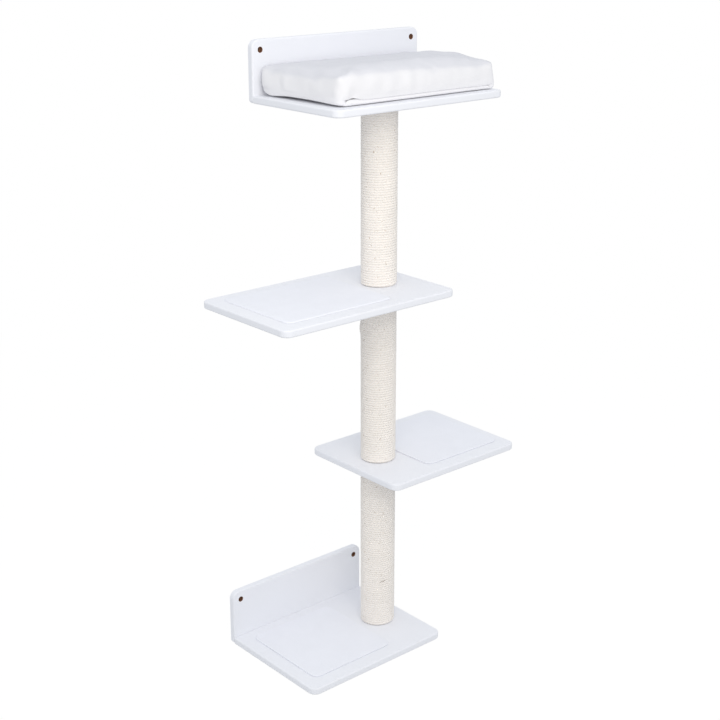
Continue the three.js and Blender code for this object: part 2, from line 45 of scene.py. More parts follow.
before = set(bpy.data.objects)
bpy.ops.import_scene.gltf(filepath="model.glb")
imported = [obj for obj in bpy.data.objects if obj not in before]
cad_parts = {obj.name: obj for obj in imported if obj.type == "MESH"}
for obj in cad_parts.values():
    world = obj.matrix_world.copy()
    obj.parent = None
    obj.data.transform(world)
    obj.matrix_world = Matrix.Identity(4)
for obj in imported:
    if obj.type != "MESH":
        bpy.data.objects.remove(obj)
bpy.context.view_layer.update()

MM = 0.001
TOWER = "tower"
SLIDER_BODY = "zip_slider"
BOARDS = ("base_plate", "lower_platform", "middle_platform", "top_shelf")
PANELS = {"base_wall_panel": "base", "top_wall_panel": "top"}
BOARDS_WITH_PANELS = {"base_plate": "base", "top_shelf": "top"}
POSTS = ("lower_post", "middle_post", "upper_post")
PADS = ("base_pad", "lower_pad", "middle_pad")
SIDES = ("left", "middle", "right")
TOUCHING = 0.02 * MM
ROPE_SEED, FIBRE_SEED, PAD_SEED = 11, 31, 51  # For the first post or pad. The next ones add 1
QUARTER_TURN = math.pi / 2
FULL_TURN = 2 * math.pi


# Sizes and colours that can be changed in the sidebar


def linear(red, green, blue):
    """A colour as a screen shows it, from 0 to 255, in the linear values that shaders use."""
    shares = (part / 255 for part in (red, green, blue))
    return tuple(
        share / 12.92 if share <= 0.04045 else ((share + 0.055) / 1.055) ** 2.4 for share in shares
    )


def length(label, description, millimetres):
    return bpy.props.FloatProperty(
        name=label,
        description=description,
        default=millimetres * MM,
        min=0.0,
        precision=5,
        unit="LENGTH",
    )


def count(label, description, default):
    return bpy.props.IntProperty(name=label, description=description, default=default, min=1)


def amount(label, description, default, **limits):
    return bpy.props.FloatProperty(name=label, description=description, default=default, **limits)


def share_of(label, description, default):
    return bpy.props.FloatProperty(
        name=label, description=description, default=default, min=0.0, max=1.0, subtype="FACTOR"
    )


def colour(label, description, red, green, blue):
    return bpy.props.FloatVectorProperty(
        name=label,
        description=description,
        default=linear(red, green, blue),
        min=0.0,
        max=1.0,
        subtype="COLOR",
    )


class BoardSettings(bpy.types.PropertyGroup):
    corner_radius: length("Corner radius", "Radius of a platform's corners, seen from above", 22)
    rounding: length("Edge rounding", "Radius of the rounded edges all round a board", 4)
    panel_top_radius: length("Panel top radius", "Radius of a wall panel's upper corners", 20)
    panel_foot_radius: length("Panel foot radius", "Radius of a wall panel's lower corners", 8)
    hole_inset: length("Hole inset", "From a panel's edges to the middle of its screw holes", 24)
    hole_diameter: length("Hole diameter", "Bore of a wall panel's screw holes", 5.5)
    hole_head_diameter: length("Hole head diameter", "Sunk part of a screw hole", 13)
    hole_head_depth: length("Hole head depth", "Depth of the sunk part of a screw hole", 7)
    paint: colour("Paint", "Colour of the painted boards", 241, 242, 247)
    raw_board: colour("Raw board", "Colour of the bare fibreboard inside the holes", 126, 88, 64)
    paint_roughness: share_of("Paint roughness", "Roughness of the painted boards", 0.5)


class RopeSettings(bpy.types.PropertyGroup):
    turns: count("Turns", "Full turns of rope on one post, without the tapered ends", 72)
    across: length("Rope across", "Thickness of the rope out from the tube", 7)
    along: length("Rope along", "Thickness of the rope along the post, before it is pressed", 8.9)
    core_diameter: length("Core diameter", "Diameter of the tube that the rope is wound on", 76.4)
    lay: length("Lay", "Length of rope in which its strands go round once", 25)
    strands: count("Strands", "Strands that the rope is laid from", 3)
    steps: count("Steps", "Sections of the rope in one turn", 108)
    fibres: count("Fibres", "Loose fibres that stand off one post", 130)
    sisal: colour("Sisal", "Main colour of the rope", 255, 251, 246)
    # Dark sisal is the colour of the streaks and also the painted shade between the strands
    sisal_dark_and_shade: colour("Dark sisal", "Colour of the rope between its strands", 250, 237, 223)


class PadSettings(bpy.types.PropertyGroup):
    corner_radius: length("Corner radius", "Radius of a pad's corners, seen from above", 20)
    edge: length("Edge", "Width over which a pad's rim is rounded", 2.2)
    felt: colour("Felt", "Colour of the pads", 242, 243, 249)


class CushionSettings(bpy.types.PropertyGroup):
    corner_radius: length("Corner radius", "Radius of the cushion's upright corners", 10)
    rim_across: length("Rim across", "How far the soft upper rim reaches in over the top", 27)
    rim_down: length("Rim down", "How far the soft upper rim reaches down the sides", 17)
    corner_rim: length("Corner rim", "How soft the upper rim is at the corners", 6)
    side_lift: length("Side lift", "How far the left side's lower edge stands off the shelf", 5.6)
    lean: length("Lean", "How far the right end's lower edge stands out past its upper one", 18)
    sag: length("Sag", "How much lower the filling lies along the back and the right end", 4.5)
    hump: length("Hump", "How much higher the filling lies in the middle of the right end", 14.5)
    front_rise: length("Front rise", "How much higher the filling lies along the front", 8)
    fullness: length("Fullness", "How far the ends stand out past the packed model's", 4)
    crown: share_of("Crown", "Share of its full crown that the top has before the simulation", 0.4)
    pressure: amount("Pressure", "Inside pressure of the simulated filling", 1.7, min=0.0)
    spare_cloth: share_of("Spare cloth", "Share by which the cover exceeds its filling", 0.002)
    cap: length("Cap", "How far the simulation may move a point", 12)
    cover: colour("Cover", "Colour of the cushion's cover", 243, 242, 244)
    tape: colour("Zip tape", "Colour of the zip's tape and teeth", 236, 235, 234)


class StageSettings(bpy.types.PropertyGroup):
    lens: length("Lens", "Focal length of the camera", 67.9955)
    key_power: amount("Key light", "Power of the soft light in front, in watts", 22.5, min=0.0)
    surround: amount("Surround", "Strength of the even light from all round", 0.815, min=0.0)
    key_colour: colour("Key colour", "Colour of the soft light in front", 255, 250, 242)
    surround_colour: colour("Surround colour", "Colour of the even light", 246, 250, 255)


SETTINGS = {
    "scratcher_boards": BoardSettings,
    "scratcher_rope": RopeSettings,
    "scratcher_pads": PadSettings,
    "scratcher_cushion": CushionSettings,
    "scratcher_stage": StageSettings,
}


# Modelling helpers


def deselect_all():
    if bpy.context.object and bpy.context.object.mode != "OBJECT":
        bpy.ops.object.mode_set(mode="OBJECT")
    bpy.ops.object.select_all(action="DESELECT")


def select_only(*pieces):
    deselect_all()
    for piece in pieces:
        piece.select_set(True)
    bpy.context.view_layer.objects.active = pieces[0]


def node_box(node):
    low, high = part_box(node)
    return Vector(low), Vector(high)


def middle_of(node):
    low, high = node_box(node)
    return (low + high) / 2


def near(first, second):
    return abs(first - second) < TOUCHING


def add_block(name, low, high):
    """A cube stretched to the box between two corners, ready to be shaped."""
    deselect_all()
    bpy.ops.mesh.primitive_cube_add(size=1, location=(low + high) / 2, scale=high - low)
    piece = bpy.context.object
    piece.name = piece.data.name = name
    bpy.ops.object.transform_apply(location=True, rotation=True, scale=True)
    return piece


def choose_edges(piece, test):
    """Goes to edit mode with just those edges selected whose two ends pass the test."""
    bpy.ops.object.mode_set(mode="OBJECT")
    bpy.context.tool_settings.mesh_select_mode = (False, True, False)
    mesh = piece.data
    for parts in (mesh.vertices, mesh.edges, mesh.polygons):
        parts.foreach_set("select", [False] * len(parts))
    for edge in mesh.edges:
        first, second = (mesh.vertices[index].co for index in edge.vertices)
        edge.select = bool(test(first, second))
    bpy.ops.object.mode_set(mode="EDIT")


def bevel_edges(piece, test, radius, segments):
    choose_edges(piece, test)
    bpy.ops.mesh.bevel(offset=radius, segments=segments, affect="EDGES", clamp_overlap=False)
    bpy.ops.object.mode_set(mode="OBJECT")


def apply_modifier(piece, kind, **settings):
    select_only(piece)
    bpy.ops.object.modifier_add(type=kind)
    modifier = piece.modifiers[-1]
    for key, value in settings.items():
        setattr(modifier, key, value)
    bpy.ops.object.modifier_apply(modifier=modifier.name)


def cut_away(piece, cutter):
    apply_modifier(
        piece,
        "BOOLEAN",
        object=cutter,
        operation="DIFFERENCE",
        solver="EXACT",
        material_mode="TRANSFER",
    )
    bpy.data.objects.remove(cutter)


def finish(piece, name):
    """Gives a piece its material."""
    piece.data.materials.append(material(name))
    return piece


def smooth(piece):
    select_only(piece)
    bpy.ops.object.shade_smooth()


def smooth_by_angle(piece, degrees=35):
    select_only(piece)
    bpy.ops.object.shade_smooth_by_angle(angle=math.radians(degrees))
    apply_modifier(piece, "WEIGHTED_NORMAL", keep_sharp=True)


def spun(name, profile, steps=48):
    """A solid turned about the Z axis from a profile of (radius, height) points."""
    deselect_all()
    mesh = bpy.data.meshes.new(name)
    points = [(radius, 0, height) for radius, height in profile]
    mesh.from_pydata(points, [(i, i + 1) for i in range(len(points) - 1)], [])
    piece = bpy.data.objects.new(name, mesh)
    bpy.context.collection.objects.link(piece)
    select_only(piece)
    bpy.ops.object.mode_set(mode="EDIT")
    bpy.ops.mesh.select_all(action="SELECT")
    bpy.ops.mesh.spin(steps=steps, angle=FULL_TURN, center=(0, 0, 0), axis=(0, 0, 1))
    bpy.ops.mesh.select_all(action="SELECT")
    bpy.ops.mesh.remove_doubles(threshold=MM / 1000)
    turn_faces_outwards()
    return piece


def turn_faces_outwards():
    """Ends edit mode with all faces of the active mesh pointing outwards."""
    bpy.ops.mesh.select_all(action="SELECT")
    bpy.ops.mesh.normals_make_consistent(inside=False)
    bpy.ops.object.mode_set(mode="OBJECT")


def put(piece, location, turn=(0, 0, 0)):
    """Moves and turns a piece, and applies that to its mesh."""
    piece.location = location
    piece.rotation_euler = turn
    select_only(piece)
    bpy.ops.object.transform_apply(location=True, rotation=True, scale=True)
    return piece


def copied(piece, name):
    twin = piece.copy()
    twin.data = piece.data.copy()
    twin.name = twin.data.name = name
    bpy.context.collection.objects.link(twin)
    return twin


def joined(name, pieces):
    select_only(*pieces)
    bpy.ops.object.join()
    whole = bpy.context.object
    whole.name = whole.data.name = name
    return whole


def settle(piece, body, slot, *nodes):
    """Ties a finished piece to its body and hides the nodes that it stands for. The slot is not
    used.
    """
    if nodes:
        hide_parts(*nodes)
    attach(piece, body)


def mesh_piece(name, points, faces, material_name):
    mesh = bpy.data.meshes.new(name)
    mesh.from_pydata(points, [], faces)
    piece = bpy.data.objects.new(name, mesh)
    bpy.context.collection.objects.link(piece)
    return finish(piece, material_name)


def read_points(piece, kind="co"):
    """A mesh's points or, with kind "normal", the normals at them, as rows of three."""
    values = np.empty(len(piece.data.vertices) * 3)
    piece.data.vertices.foreach_get(kind, values)
    return values.reshape(-1, 3)


def write_points(piece, points):
    piece.data.vertices.foreach_set("co", points.ravel())
    piece.data.update()


def set_uv(piece, per_loop):
    layer = piece.data.uv_layers.new(name="cloth")
    layer.data.foreach_set("uv", np.asarray(per_loop, dtype=np.float32).ravel())


def set_attribute(piece, name, values):
    attribute = piece.data.attributes.new(name, "FLOAT", "POINT")
    attribute.data.foreach_set("value", np.asarray(values, dtype=np.float32))


# Shader helpers


WHITE = (1.0, 1.0, 1.0, 1.0)


class Graph:
    """Adds nodes to a node tree and links them as they are made."""

    def __init__(self, tree):
        self.tree = tree

    def node(self, kind, inputs=None, **settings):
        made = self.tree.nodes.new(kind)
        for key, value in settings.items():
            setattr(made, key, value)
        return self.feed(made, inputs or {})

    def feed(self, made, inputs):
        """Links a node's inputs to the sockets given for them, and sets the others to values."""
        for key, value in inputs.items():
            if isinstance(value, bpy.types.NodeSocket):
                self.tree.links.new(value, made.inputs[key])
            else:
                made.inputs[key].default_value = value
        return made

    def math(self, operation, *values, clamp=False):
        inputs = dict(enumerate(values))
        return self.node("ShaderNodeMath", inputs, operation=operation, use_clamp=clamp).outputs[0]

    def blend(self, factor, first, second):
        """Mixes two colours."""
        inputs = {0: factor, 6: first, 7: second}
        return self.node("ShaderNodeMix", inputs, data_type="RGBA").outputs[2]

    def level(self, value, low, high, to_low=0.0, to_high=1.0):
        """Stretches a value from one range to another, kept within it."""
        names = ("Value", "From Min", "From Max", "To Min", "To Max")
        inputs = dict(zip(names, (value, low, high, to_low, to_high)))
        return self.node("ShaderNodeMapRange", inputs).outputs["Result"]

    def noise(self, vector, scale, detail=3.0, roughness=0.5):
        inputs = {"Vector": vector, "Scale": scale, "Detail": detail, "Roughness": roughness}
        return self.node("ShaderNodeTexNoise", inputs).outputs[0]

    def stretched(self, vector, scale):
        return self.node("ShaderNodeMapping", {"Vector": vector, "Scale": scale}).outputs[0]

    def place(self):
        return self.node("ShaderNodeTexCoord").outputs["Object"]

    def cloth_map(self):
        return self.node("ShaderNodeUVMap", uv_map="cloth").outputs["UV"]

    def attribute(self, name):
        return self.node("ShaderNodeAttribute", attribute_name=name).outputs["Fac"]

    def group(self, name, **inputs):
        labelled = {key.capitalize(): value for key, value in inputs.items()}
        tree = bpy.data.node_groups[name]
        return self.node("ShaderNodeGroup", labelled, node_tree=tree).outputs

    def uneven(self, vector, tint, patches, grain, depth):
        """A tint or colour socket with patches and fine grain in it, and the grain alone."""
        shown = tint if isinstance(tint, bpy.types.NodeSocket) else rgba(tint)
        sizes = {"patches": patches, "grain": grain, "depth": depth}
        return self.group("uneven tone", vector=vector, colour=shown, **sizes)


def rgba(value):
    return (*value, 1.0)


def group_tree(name, inputs, outputs):
    """A new shader node group. Its inputs are {name: default} and its outputs {name: kind}."""
    kinds = {"value": "NodeSocketFloat", "colour": "NodeSocketColor", "vector": "NodeSocketVector"}
    tree = bpy.data.node_groups.new(name, "ShaderNodeTree")
    for label, default in inputs.items():
        kind = "vector" if default is None else "colour" if isinstance(default, tuple) else "value"
        socket = tree.interface.new_socket(label, in_out="INPUT", socket_type=kinds[kind])
        if default is not None:
            socket.default_value = default
    for label, kind in outputs.items():
        tree.interface.new_socket(label, in_out="OUTPUT", socket_type=kinds[kind])
    graph = Graph(tree)
    return graph, graph.node("NodeGroupInput").outputs, graph.node("NodeGroupOutput").inputs


def link(graph, socket, target):
    graph.tree.links.new(socket, target)


def make_shared_groups():
    """Effects that several materials use: uneven tone, edge wear and woven threads."""
    if "uneven tone" in bpy.data.node_groups:
        return

    # Slow patches and fine grain that lighten and darken a colour
    graph, given, result = group_tree(
        "uneven tone",
        {"Vector": None, "Colour": WHITE, "Patches": 6.0, "Grain": 300.0, "Depth": 0.04},
        {"Colour": "colour", "Grain": "value"},
    )
    patches = graph.noise(given["Vector"], given["Patches"], 2.0)
    grain = graph.noise(given["Vector"], given["Grain"], 2.0)
    both = graph.math(
        "ADD", graph.math("MULTIPLY", patches, 0.6), graph.math("MULTIPLY", grain, 0.4)
    )
    centred = graph.math("SUBTRACT", both, 0.5)
    scaled = graph.math("MULTIPLY", centred, graph.math("MULTIPLY", given["Depth"], 4.0))
    value = graph.math("ADD", scaled, 1.0)
    tone = graph.node("ShaderNodeHueSaturation", {"Value": value, "Color": given["Colour"]})
    link(graph, tone.outputs[0], result["Colour"])
    link(graph, grain, result["Grain"])

    # Rubbed edges: a mask from the edge attribute, broken up by noise
    graph, given, result = group_tree(
        "edge wear", {"Vector": None, "Edge": 0.0, "Amount": 0.5}, {"Mask": "value"}
    )
    broken = graph.level(graph.noise(given["Vector"], 55.0, 4.0, 0.6), 0.48, 0.72)
    on_edge = graph.math("MULTIPLY", broken, given["Edge"])
    link(graph, graph.math("MULTIPLY", on_edge, given["Amount"], clamp=True), result["Mask"])

    # Plain weave: threads that pass over and under each other
    graph, given, result = group_tree(
        "plain weave", {"Vector": None, "Threads": 1500.0}, {"Height": "value"}
    )
    inputs = {0: given["Vector"], 3: given["Threads"]}
    scaled = graph.node("ShaderNodeVectorMath", inputs, operation="SCALE")
    split = graph.node("ShaderNodeSeparateXYZ", {0: scaled.outputs[0]}).outputs
    wave = [graph.math("SINE", graph.math("MULTIPLY", split[axis], math.pi)) for axis in (0, 1)]
    link(graph, graph.math("MULTIPLY", wave[0], wave[1]), result["Height"])


def new_material(name):
    """Makes a material, for its graph and its Principled shader to be set up."""
    made = bpy.data.materials.new(name)
    made.use_nodes = True
    return Graph(made.node_tree), made.node_tree.nodes["Principled BSDF"]


def dress(graph, shader, tint, roughness, height, strength, relief, **fixed):
    """Gives a shader its colour, roughness and bump, and its fixed values."""
    inputs = {"Height": height, "Strength": strength, "Distance": relief}
    bump = graph.node("ShaderNodeBump", inputs).outputs[0]
    graph.feed(shader, {"Base Color": tint, "Roughness": roughness, "Normal": bump})
    graph.feed(shader, {key.replace("_", " "): value for key, value in fixed.items()})


def material(name):
    """The named material, made on its first use."""
    if name not in bpy.data.materials:
        make_shared_groups()
        MATERIAL_MAKERS[name]()
    return bpy.data.materials[name]


def make_white_paint():
    """Sprayed paint: a trace of orange peel, patches of more gloss, and rubbed edges."""
    settings = bpy.context.scene.scratcher_boards
    graph, shader = new_material("white_paint")
    place = graph.place()
    tone = graph.uneven(place, settings.paint, 4.0, 900.0, 0.01)
    edge = graph.attribute("edge")
    rubbed = graph.group("edge wear", vector=place, edge=edge, amount=0.35)["Mask"]
    worn = graph.blend(rubbed, tone["Colour"], rgba(linear(226, 224, 220)))
    peel = graph.noise(place, 260.0, 2.0)
    glossiest, dullest = settings.paint_roughness - 0.05, settings.paint_roughness + 0.07
    roughness = graph.level(graph.noise(place, 18.0, 3.0), 0.3, 0.7, glossiest, dullest)
    dress(graph, shader, worn, roughness, peel, 0.12, 0.15 * MM, Specular_IOR_Level=0.4)


def make_sisal():
    """Twisted fibres: streaks along the strands, painted shade between them, with brown specks."""
    settings = bpy.context.scene.scratcher_rope
    graph, shader = new_material("sisal")
    along = graph.cloth_map()
    place = graph.place()
    streaks = graph.noise(graph.stretched(along, (180.0, 34.0, 1.0)), 1.0, 3.0, 0.65)
    hairs = graph.noise(graph.stretched(along, (420.0, 110.0, 1.0)), 1.0, 2.0, 0.6)
    # Painted shade: the rope darkens towards dark sisal in the valleys between its strands
    hollow_shade = graph.math("MULTIPLY", graph.attribute("hollow"), 0.4)
    in_streak = graph.level(streaks, 0.42, 0.75, 0.0, 0.42)
    dark = graph.math("ADD", hollow_shade, in_streak, clamp=True)
    base = graph.blend(dark, rgba(settings.sisal), rgba(settings.sisal_dark_and_shade))
    specks = graph.level(graph.noise(place, 170.0, 2.0, 0.7), 0.67, 0.73, 0.0, 0.75)
    speckled = graph.blend(specks, base, rgba(linear(168, 138, 100)))
    tone = graph.uneven(place, speckled, 14.0, 120.0, 0.035)
    halves = (graph.math("MULTIPLY", part, 0.5) for part in (streaks, hairs))
    height = graph.math("ADD", *halves)
    dress(graph, shader, tone["Colour"], 0.92, height, 0.4, 0.4 * MM, Specular_IOR_Level=0.25)


def make_felt():
    settings = bpy.context.scene.scratcher_pads
    graph, shader = new_material("felt_fibres")
    place = graph.place()
    tone = graph.uneven(place, settings.felt, 22.0, 700.0, 0.018)
    fibres = graph.noise(graph.stretched(place, (1.0, 2.4, 1.0)), 900.0, 4.0, 0.7)
    soft = {"Sheen_Weight": 0.15, "Specular_IOR_Level": 0.2}
    dress(graph, shader, tone["Colour"], 0.96, fibres, 0.5, 0.35 * MM, **soft)


def make_cover():
    """Plain weave with slubs in its threads, and painted shade, a greyer tint, where the cover
    faces up.
    """
    settings = bpy.context.scene.scratcher_cushion
    graph, shader = new_material("cover_weave")
    cloth = graph.cloth_map()
    tone = graph.uneven(cloth, settings.cover, 9.0, 500.0, 0.012)
    weave = graph.group("plain weave", vector=cloth, threads=1400.0)["Height"]
    slub = graph.noise(graph.stretched(cloth, (60.0, 900.0, 1.0)), 1.0, 2.0)
    height = graph.math("ADD", graph.math("MULTIPLY", weave, 0.5), slub)
    # Painted shade: the cover turns greyer where it faces up, standing in for its less lit top
    top_shaded = graph.blend(graph.attribute("upper"), tone["Colour"], rgba(linear(223, 223, 228)))
    dress(graph, shader, top_shaded, 0.78, height, 0.35, 0.12 * MM, Specular_IOR_Level=0.3)


def make_tape():
    settings = bpy.context.scene.scratcher_cushion
    graph, shader = new_material("tape_weave")
    place = graph.place()
    tone = graph.uneven(place, settings.tape, 40.0, 1500.0, 0.02)
    upright = {"Vector": place, "Rotation": (QUARTER_TURN, 0.0, QUARTER_TURN / 2)}
    turned = graph.node("ShaderNodeMapping", upright).outputs[0]
    weave = graph.group("plain weave", vector=turned, threads=2200.0)["Height"]
    dress(graph, shader, tone["Colour"], 0.85, weave, 0.4, 0.12 * MM)


def make_metal(name, tint, scratches):
    """Plated metal: a tint, fine turning marks and patches of duller plating."""
    graph, shader = new_material(name)
    place = graph.place()
    tone = graph.uneven(place, tint, 120.0, 900.0, 0.05)
    roughness = graph.level(graph.noise(place, 300.0, 3.0), 0.3, 0.7, 0.24, 0.42)
    marks = graph.noise(graph.stretched(place, (1.0, 1.0, 6.0)), scratches, 3.0)
    dress(graph, shader, tone["Colour"], roughness, marks, 0.15, 0.05 * MM, Metallic=1.0)


def make_cardboard():
    graph, shader = new_material("tube_card")
    place = graph.place()
    tone = graph.uneven(place, linear(178, 150, 116), 30.0, 800.0, 0.08)
    plies = graph.noise(graph.stretched(place, (40.0, 40.0, 900.0)), 1.0, 3.0)
    dress(graph, shader, tone["Colour"], 0.9, plies, 0.3, 0.2 * MM)


def make_plug_wood():
    graph, shader = new_material("pine_wood")
    grain = graph.noise(graph.stretched(graph.place(), (60.0, 700.0, 700.0)), 1.0, 4.0, 0.6)
    tint = graph.blend(grain, rgba(linear(214, 180, 134)), rgba(linear(168, 128, 84)))
    dress(graph, shader, tint, 0.75, grain, 0.3, 0.2 * MM)


def make_grained(name, tint, patches, grain, depth, roughness, strength, relief):
    """A material whose fine grain is also its relief."""
    graph, shader = new_material(name)
    tone = graph.uneven(graph.place(), tint, patches, grain, depth)
    dress(graph, shader, tone["Colour"], roughness, tone["Grain"], strength, relief)


def make_raw_board():
    tint = bpy.context.scene.scratcher_boards.raw_board
    make_grained("raw_fibreboard", tint, 150.0, 2400.0, 0.14, 0.95, 0.6, 0.3 * MM)


def make_dark_fibre():
    make_grained("dark_fibre", linear(112, 90, 68), 120.0, 1500.0, 0.1, 0.9, 0.4, 0.1 * MM)


def make_teeth():
    make_grained("nylon_teeth", linear(232, 232, 234), 80.0, 900.0, 0.02, 0.35, 0.1, 0.05 * MM)


MATERIAL_MAKERS = {
    "white_paint": make_white_paint,
    "raw_fibreboard": make_raw_board,
    "sisal": make_sisal,
    "dark_fibre": make_dark_fibre,
    "felt_fibres": make_felt,
    "cover_weave": make_cover,
    "tape_weave": make_tape,
    "nylon_teeth": make_teeth,
    "slider_metal": lambda: make_metal("slider_metal", linear(176, 176, 178), 700.0),
    "plated_steel": lambda: make_metal("plated_steel", linear(196, 199, 203), 500.0),
    "tube_card": make_cardboard,
    "pine_wood": make_plug_wood,
}


# Boards


CORNER_STEPS, FOOT_STEPS, RIM_STEPS = 14, 8, 5  # Facets of a rounded corner, foot or rim
BOLT_SPARE = 0.2 * MM  # How much wider a bore is than its bolt, all round
WASHER_SPARE = MM
PILOT_TIGHTER = 0.05 * MM  # How much narrower a pilot hole is than a wall hole, all round
MOUTH_EASE, HOLE_EASE = 0.3 * MM, 0.8 * MM  # Broken edges round a bolt's and a screw's sunk place
BEYOND = MM  # How far a cutter reaches past the face that it cuts
FACING_FRONT, FACING_BACK = (QUARTER_TURN, 0, 0), (-QUARTER_TURN, 0, 0)


def mark_edges(piece, low, high, rounding, axis):
    """Stores how far each point lies round a rounded edge: 1 in its middle, 0 on the flats."""
    height = read_points(piece)[:, axis]
    depth = np.minimum(height - low[axis], high[axis] - height) / rounding
    set_attribute(piece, "edge", np.sin(np.clip(depth, 0, 1) * math.pi))


def bore_cutter(name, place, profile, turn=(0, 0, 0), steps=48):
    return put(finish(spun(name, profile, steps), "raw_fibreboard"), place, turn)


def stepped_hole(head, bore, head_depth, through, ease):
    """The profile of a sunk hole that runs down from its mouth at height 0."""
    return [
        (0, -through - BEYOND),
        (bore, -through - BEYOND),
        (bore, -head_depth),
        (head, -head_depth),
        (head, -ease),
        (head + ease + BEYOND, BEYOND),
        (0, BEYOND),
    ]


def straight_hole(bore, start, end):
    return [(0, start), (bore, start), (bore, end), (0, end)]


def make_board(node):
    settings = bpy.context.scene.scratcher_boards
    low, high = node_box(node)
    square_back = node in BOARDS_WITH_PANELS
    piece = finish(add_block(f"{node}_painted", low, high), "white_paint")

    def corner(first, second):
        upright = near(first.x, second.x) and near(first.y, second.y)
        return upright and not (square_back and near(first.y, high.y))

    def rim(first, second):
        level = near(first.z, second.z) and (near(first.z, low.z) or near(first.z, high.z))
        return level and not (square_back and near(first.y, high.y) and near(second.y, high.y))

    bevel_edges(piece, corner, settings.corner_radius, CORNER_STEPS)
    bevel_edges(piece, rim, settings.rounding, RIM_STEPS)
    mark_edges(piece, low, high, settings.rounding, 2)
    cutters = bolt_cutters(node, low, high) if square_back else stud_cutters(low, high)
    for cutter in cutters:
        cut_away(piece, cutter)
    smooth_by_angle(piece)
    settle(piece, TOWER, "white_board", node)


def bolt_cutters(node, low, high):
    """The sunk place and bore of a board's bolt, and its panel screws' pilot holes."""
    axis = middle_of("lower_post_tube")
    upward = node == "top_shelf"
    washer_low, washer_high = node_box("shelf_washer" if upward else "base_washer")
    head = (washer_high.x - washer_low.x) / 2 + WASHER_SPARE
    depth = high.z - washer_low.z if upward else washer_high.z - low.z
    profile = stepped_hole(head, bolt_bore(), depth + node_gap(), high.z - low.z, MOUTH_EASE)
    mouth = Vector((axis.x, axis.y, high.z if upward else low.z))
    yield bore_cutter("bolt_bore", mouth, profile, (0 if upward else math.pi, 0, 0))
    shank = bpy.context.scene.scratcher_boards.hole_diameter / 2 - PILOT_TIGHTER
    for side in SIDES:
        screw = f"{BOARDS_WITH_PANELS[node]}_panel_screw_{side}"
        middle = middle_of(screw)
        start = node_box(screw)[0].y - node_gap()
        profile = straight_hole(shank, start, high.y + BEYOND)
        place = Vector((middle.x, 0, middle.z))
        yield bore_cutter("pilot", place, profile, FACING_BACK, steps=24)


def stud_cutters(low, high):
    """The bore that a stud goes through."""
    axis = middle_of("lower_post_tube")
    profile = straight_hole(bolt_bore(), low.z - BEYOND, high.z + BEYOND)
    yield bore_cutter("stud_bore", Vector((axis.x, axis.y, 0)), profile)


def bolt_bore():
    low, high = node_box("lower_stud")
    return (high.x - low.x) / 2 + BOLT_SPARE


def node_gap():
    """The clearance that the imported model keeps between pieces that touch."""
    return node_box("base_wall_panel")[0].y - node_box("base_plate")[1].y


def make_panel(node):
    settings = bpy.context.scene.scratcher_boards
    low, high = node_box(node)
    piece = finish(add_block(f"{node}_painted", low, high), "white_paint")

    def corner_at(height):
        def test(first, second):
            runs_back = near(first.x, second.x) and near(first.z, second.z)
            return runs_back and near(first.z, height)

        return test

    def rim(first, second):
        return near(first.y, second.y) and (near(first.y, low.y) or near(first.y, high.y))

    bevel_edges(piece, corner_at(high.z), settings.panel_top_radius, CORNER_STEPS)
    bevel_edges(piece, corner_at(low.z), settings.panel_foot_radius, FOOT_STEPS)
    bevel_edges(piece, rim, settings.rounding, RIM_STEPS)
    mark_edges(piece, low, high, settings.rounding, 1)
    head, bore = settings.hole_head_diameter / 2, settings.hole_diameter / 2
    profile = stepped_hole(head, bore, settings.hole_head_depth, high.y - low.y, HOLE_EASE)
    height = high.z - settings.hole_inset
    for x in (low.x + settings.hole_inset, high.x - settings.hole_inset):
        cut_away(piece, bore_cutter("wall_hole", Vector((x, low.y, height)), profile, FACING_FRONT))
    for side in SIDES:
        cut_away(piece, screw_seat(f"{PANELS[node]}_panel_screw_{side}", high.y))
    smooth_by_angle(piece)
    settle(piece, TOWER, "white_board", node)


# Screws and bolts


# Where a screw's tip, neck and head's rim lie, as shares of its length from its tip
TIP_SHARE, NECK_SHARE, RIM_SHARE = 0.08, 0.94, 0.992
# A screw's cross recess against its head's radius: length, width and depth
RECESS_LENGTH, RECESS_WIDTH, RECESS_DEPTH = 1.05, 0.2, 0.42
SOCKET_RADIUS, SOCKET_DEPTH = 2.9 * MM, 3 * MM
DOME_SHARE = 0.55  # How much of the height of a bolt's head is rounded
WASHER_EASE = 0.25 * MM


def screw_profile(node, spare=0.0, above=0.0):
    """Half the outline of a countersunk screw along its axis, with its head's face at height 0."""
    low, high = node_box(node)
    long = high.y - low.y
    head = (high.x - low.x) / 2 + spare
    shank = head / 2 + spare / 2
    return [
        (0, -long - spare),
        (shank * 0.25, -long - spare + 0.2 * MM),
        (shank, -long * (1 - TIP_SHARE)),
        (shank, -long * (1 - NECK_SHARE) - spare),
        (head, -long * (1 - RIM_SHARE) - spare),
        (head, above),
        (0, above),
    ]


def screw_face(node):
    """The middle of a screw's outer face."""
    middle = middle_of(node)
    return Vector((middle.x, node_box(node)[1].y, middle.z))


def screw_seat(node, back):
    place = screw_face(node)
    profile = screw_profile(node, node_gap(), back - place.y + BEYOND)
    return bore_cutter("screw_seat", place, profile, FACING_BACK, steps=32)


def make_screws():
    """One countersunk screw with a cross recess, then a copy of it at each place."""
    nodes = [f"{panel}_panel_screw_{side}" for panel in PANELS.values() for side in SIDES]
    first = finish(spun("screw_model", screw_profile(nodes[0]), 40), "plated_steel")
    low, high = node_box(nodes[0])
    head = (high.x - low.x) / 2
    for x, y in ((RECESS_LENGTH, RECESS_WIDTH), (RECESS_WIDTH, RECESS_LENGTH)):
        half = Vector((head * x / 2, head * y / 2, head * RECESS_DEPTH))
        cut_away(first, add_block("recess", -half, half))
    smooth_by_angle(first, 40)
    for node in nodes:
        screw = put(copied(first, f"{node}_head"), screw_face(node), FACING_BACK)
        settle(screw, TOWER, "zinc_steel", node)
    bpy.data.objects.remove(first)


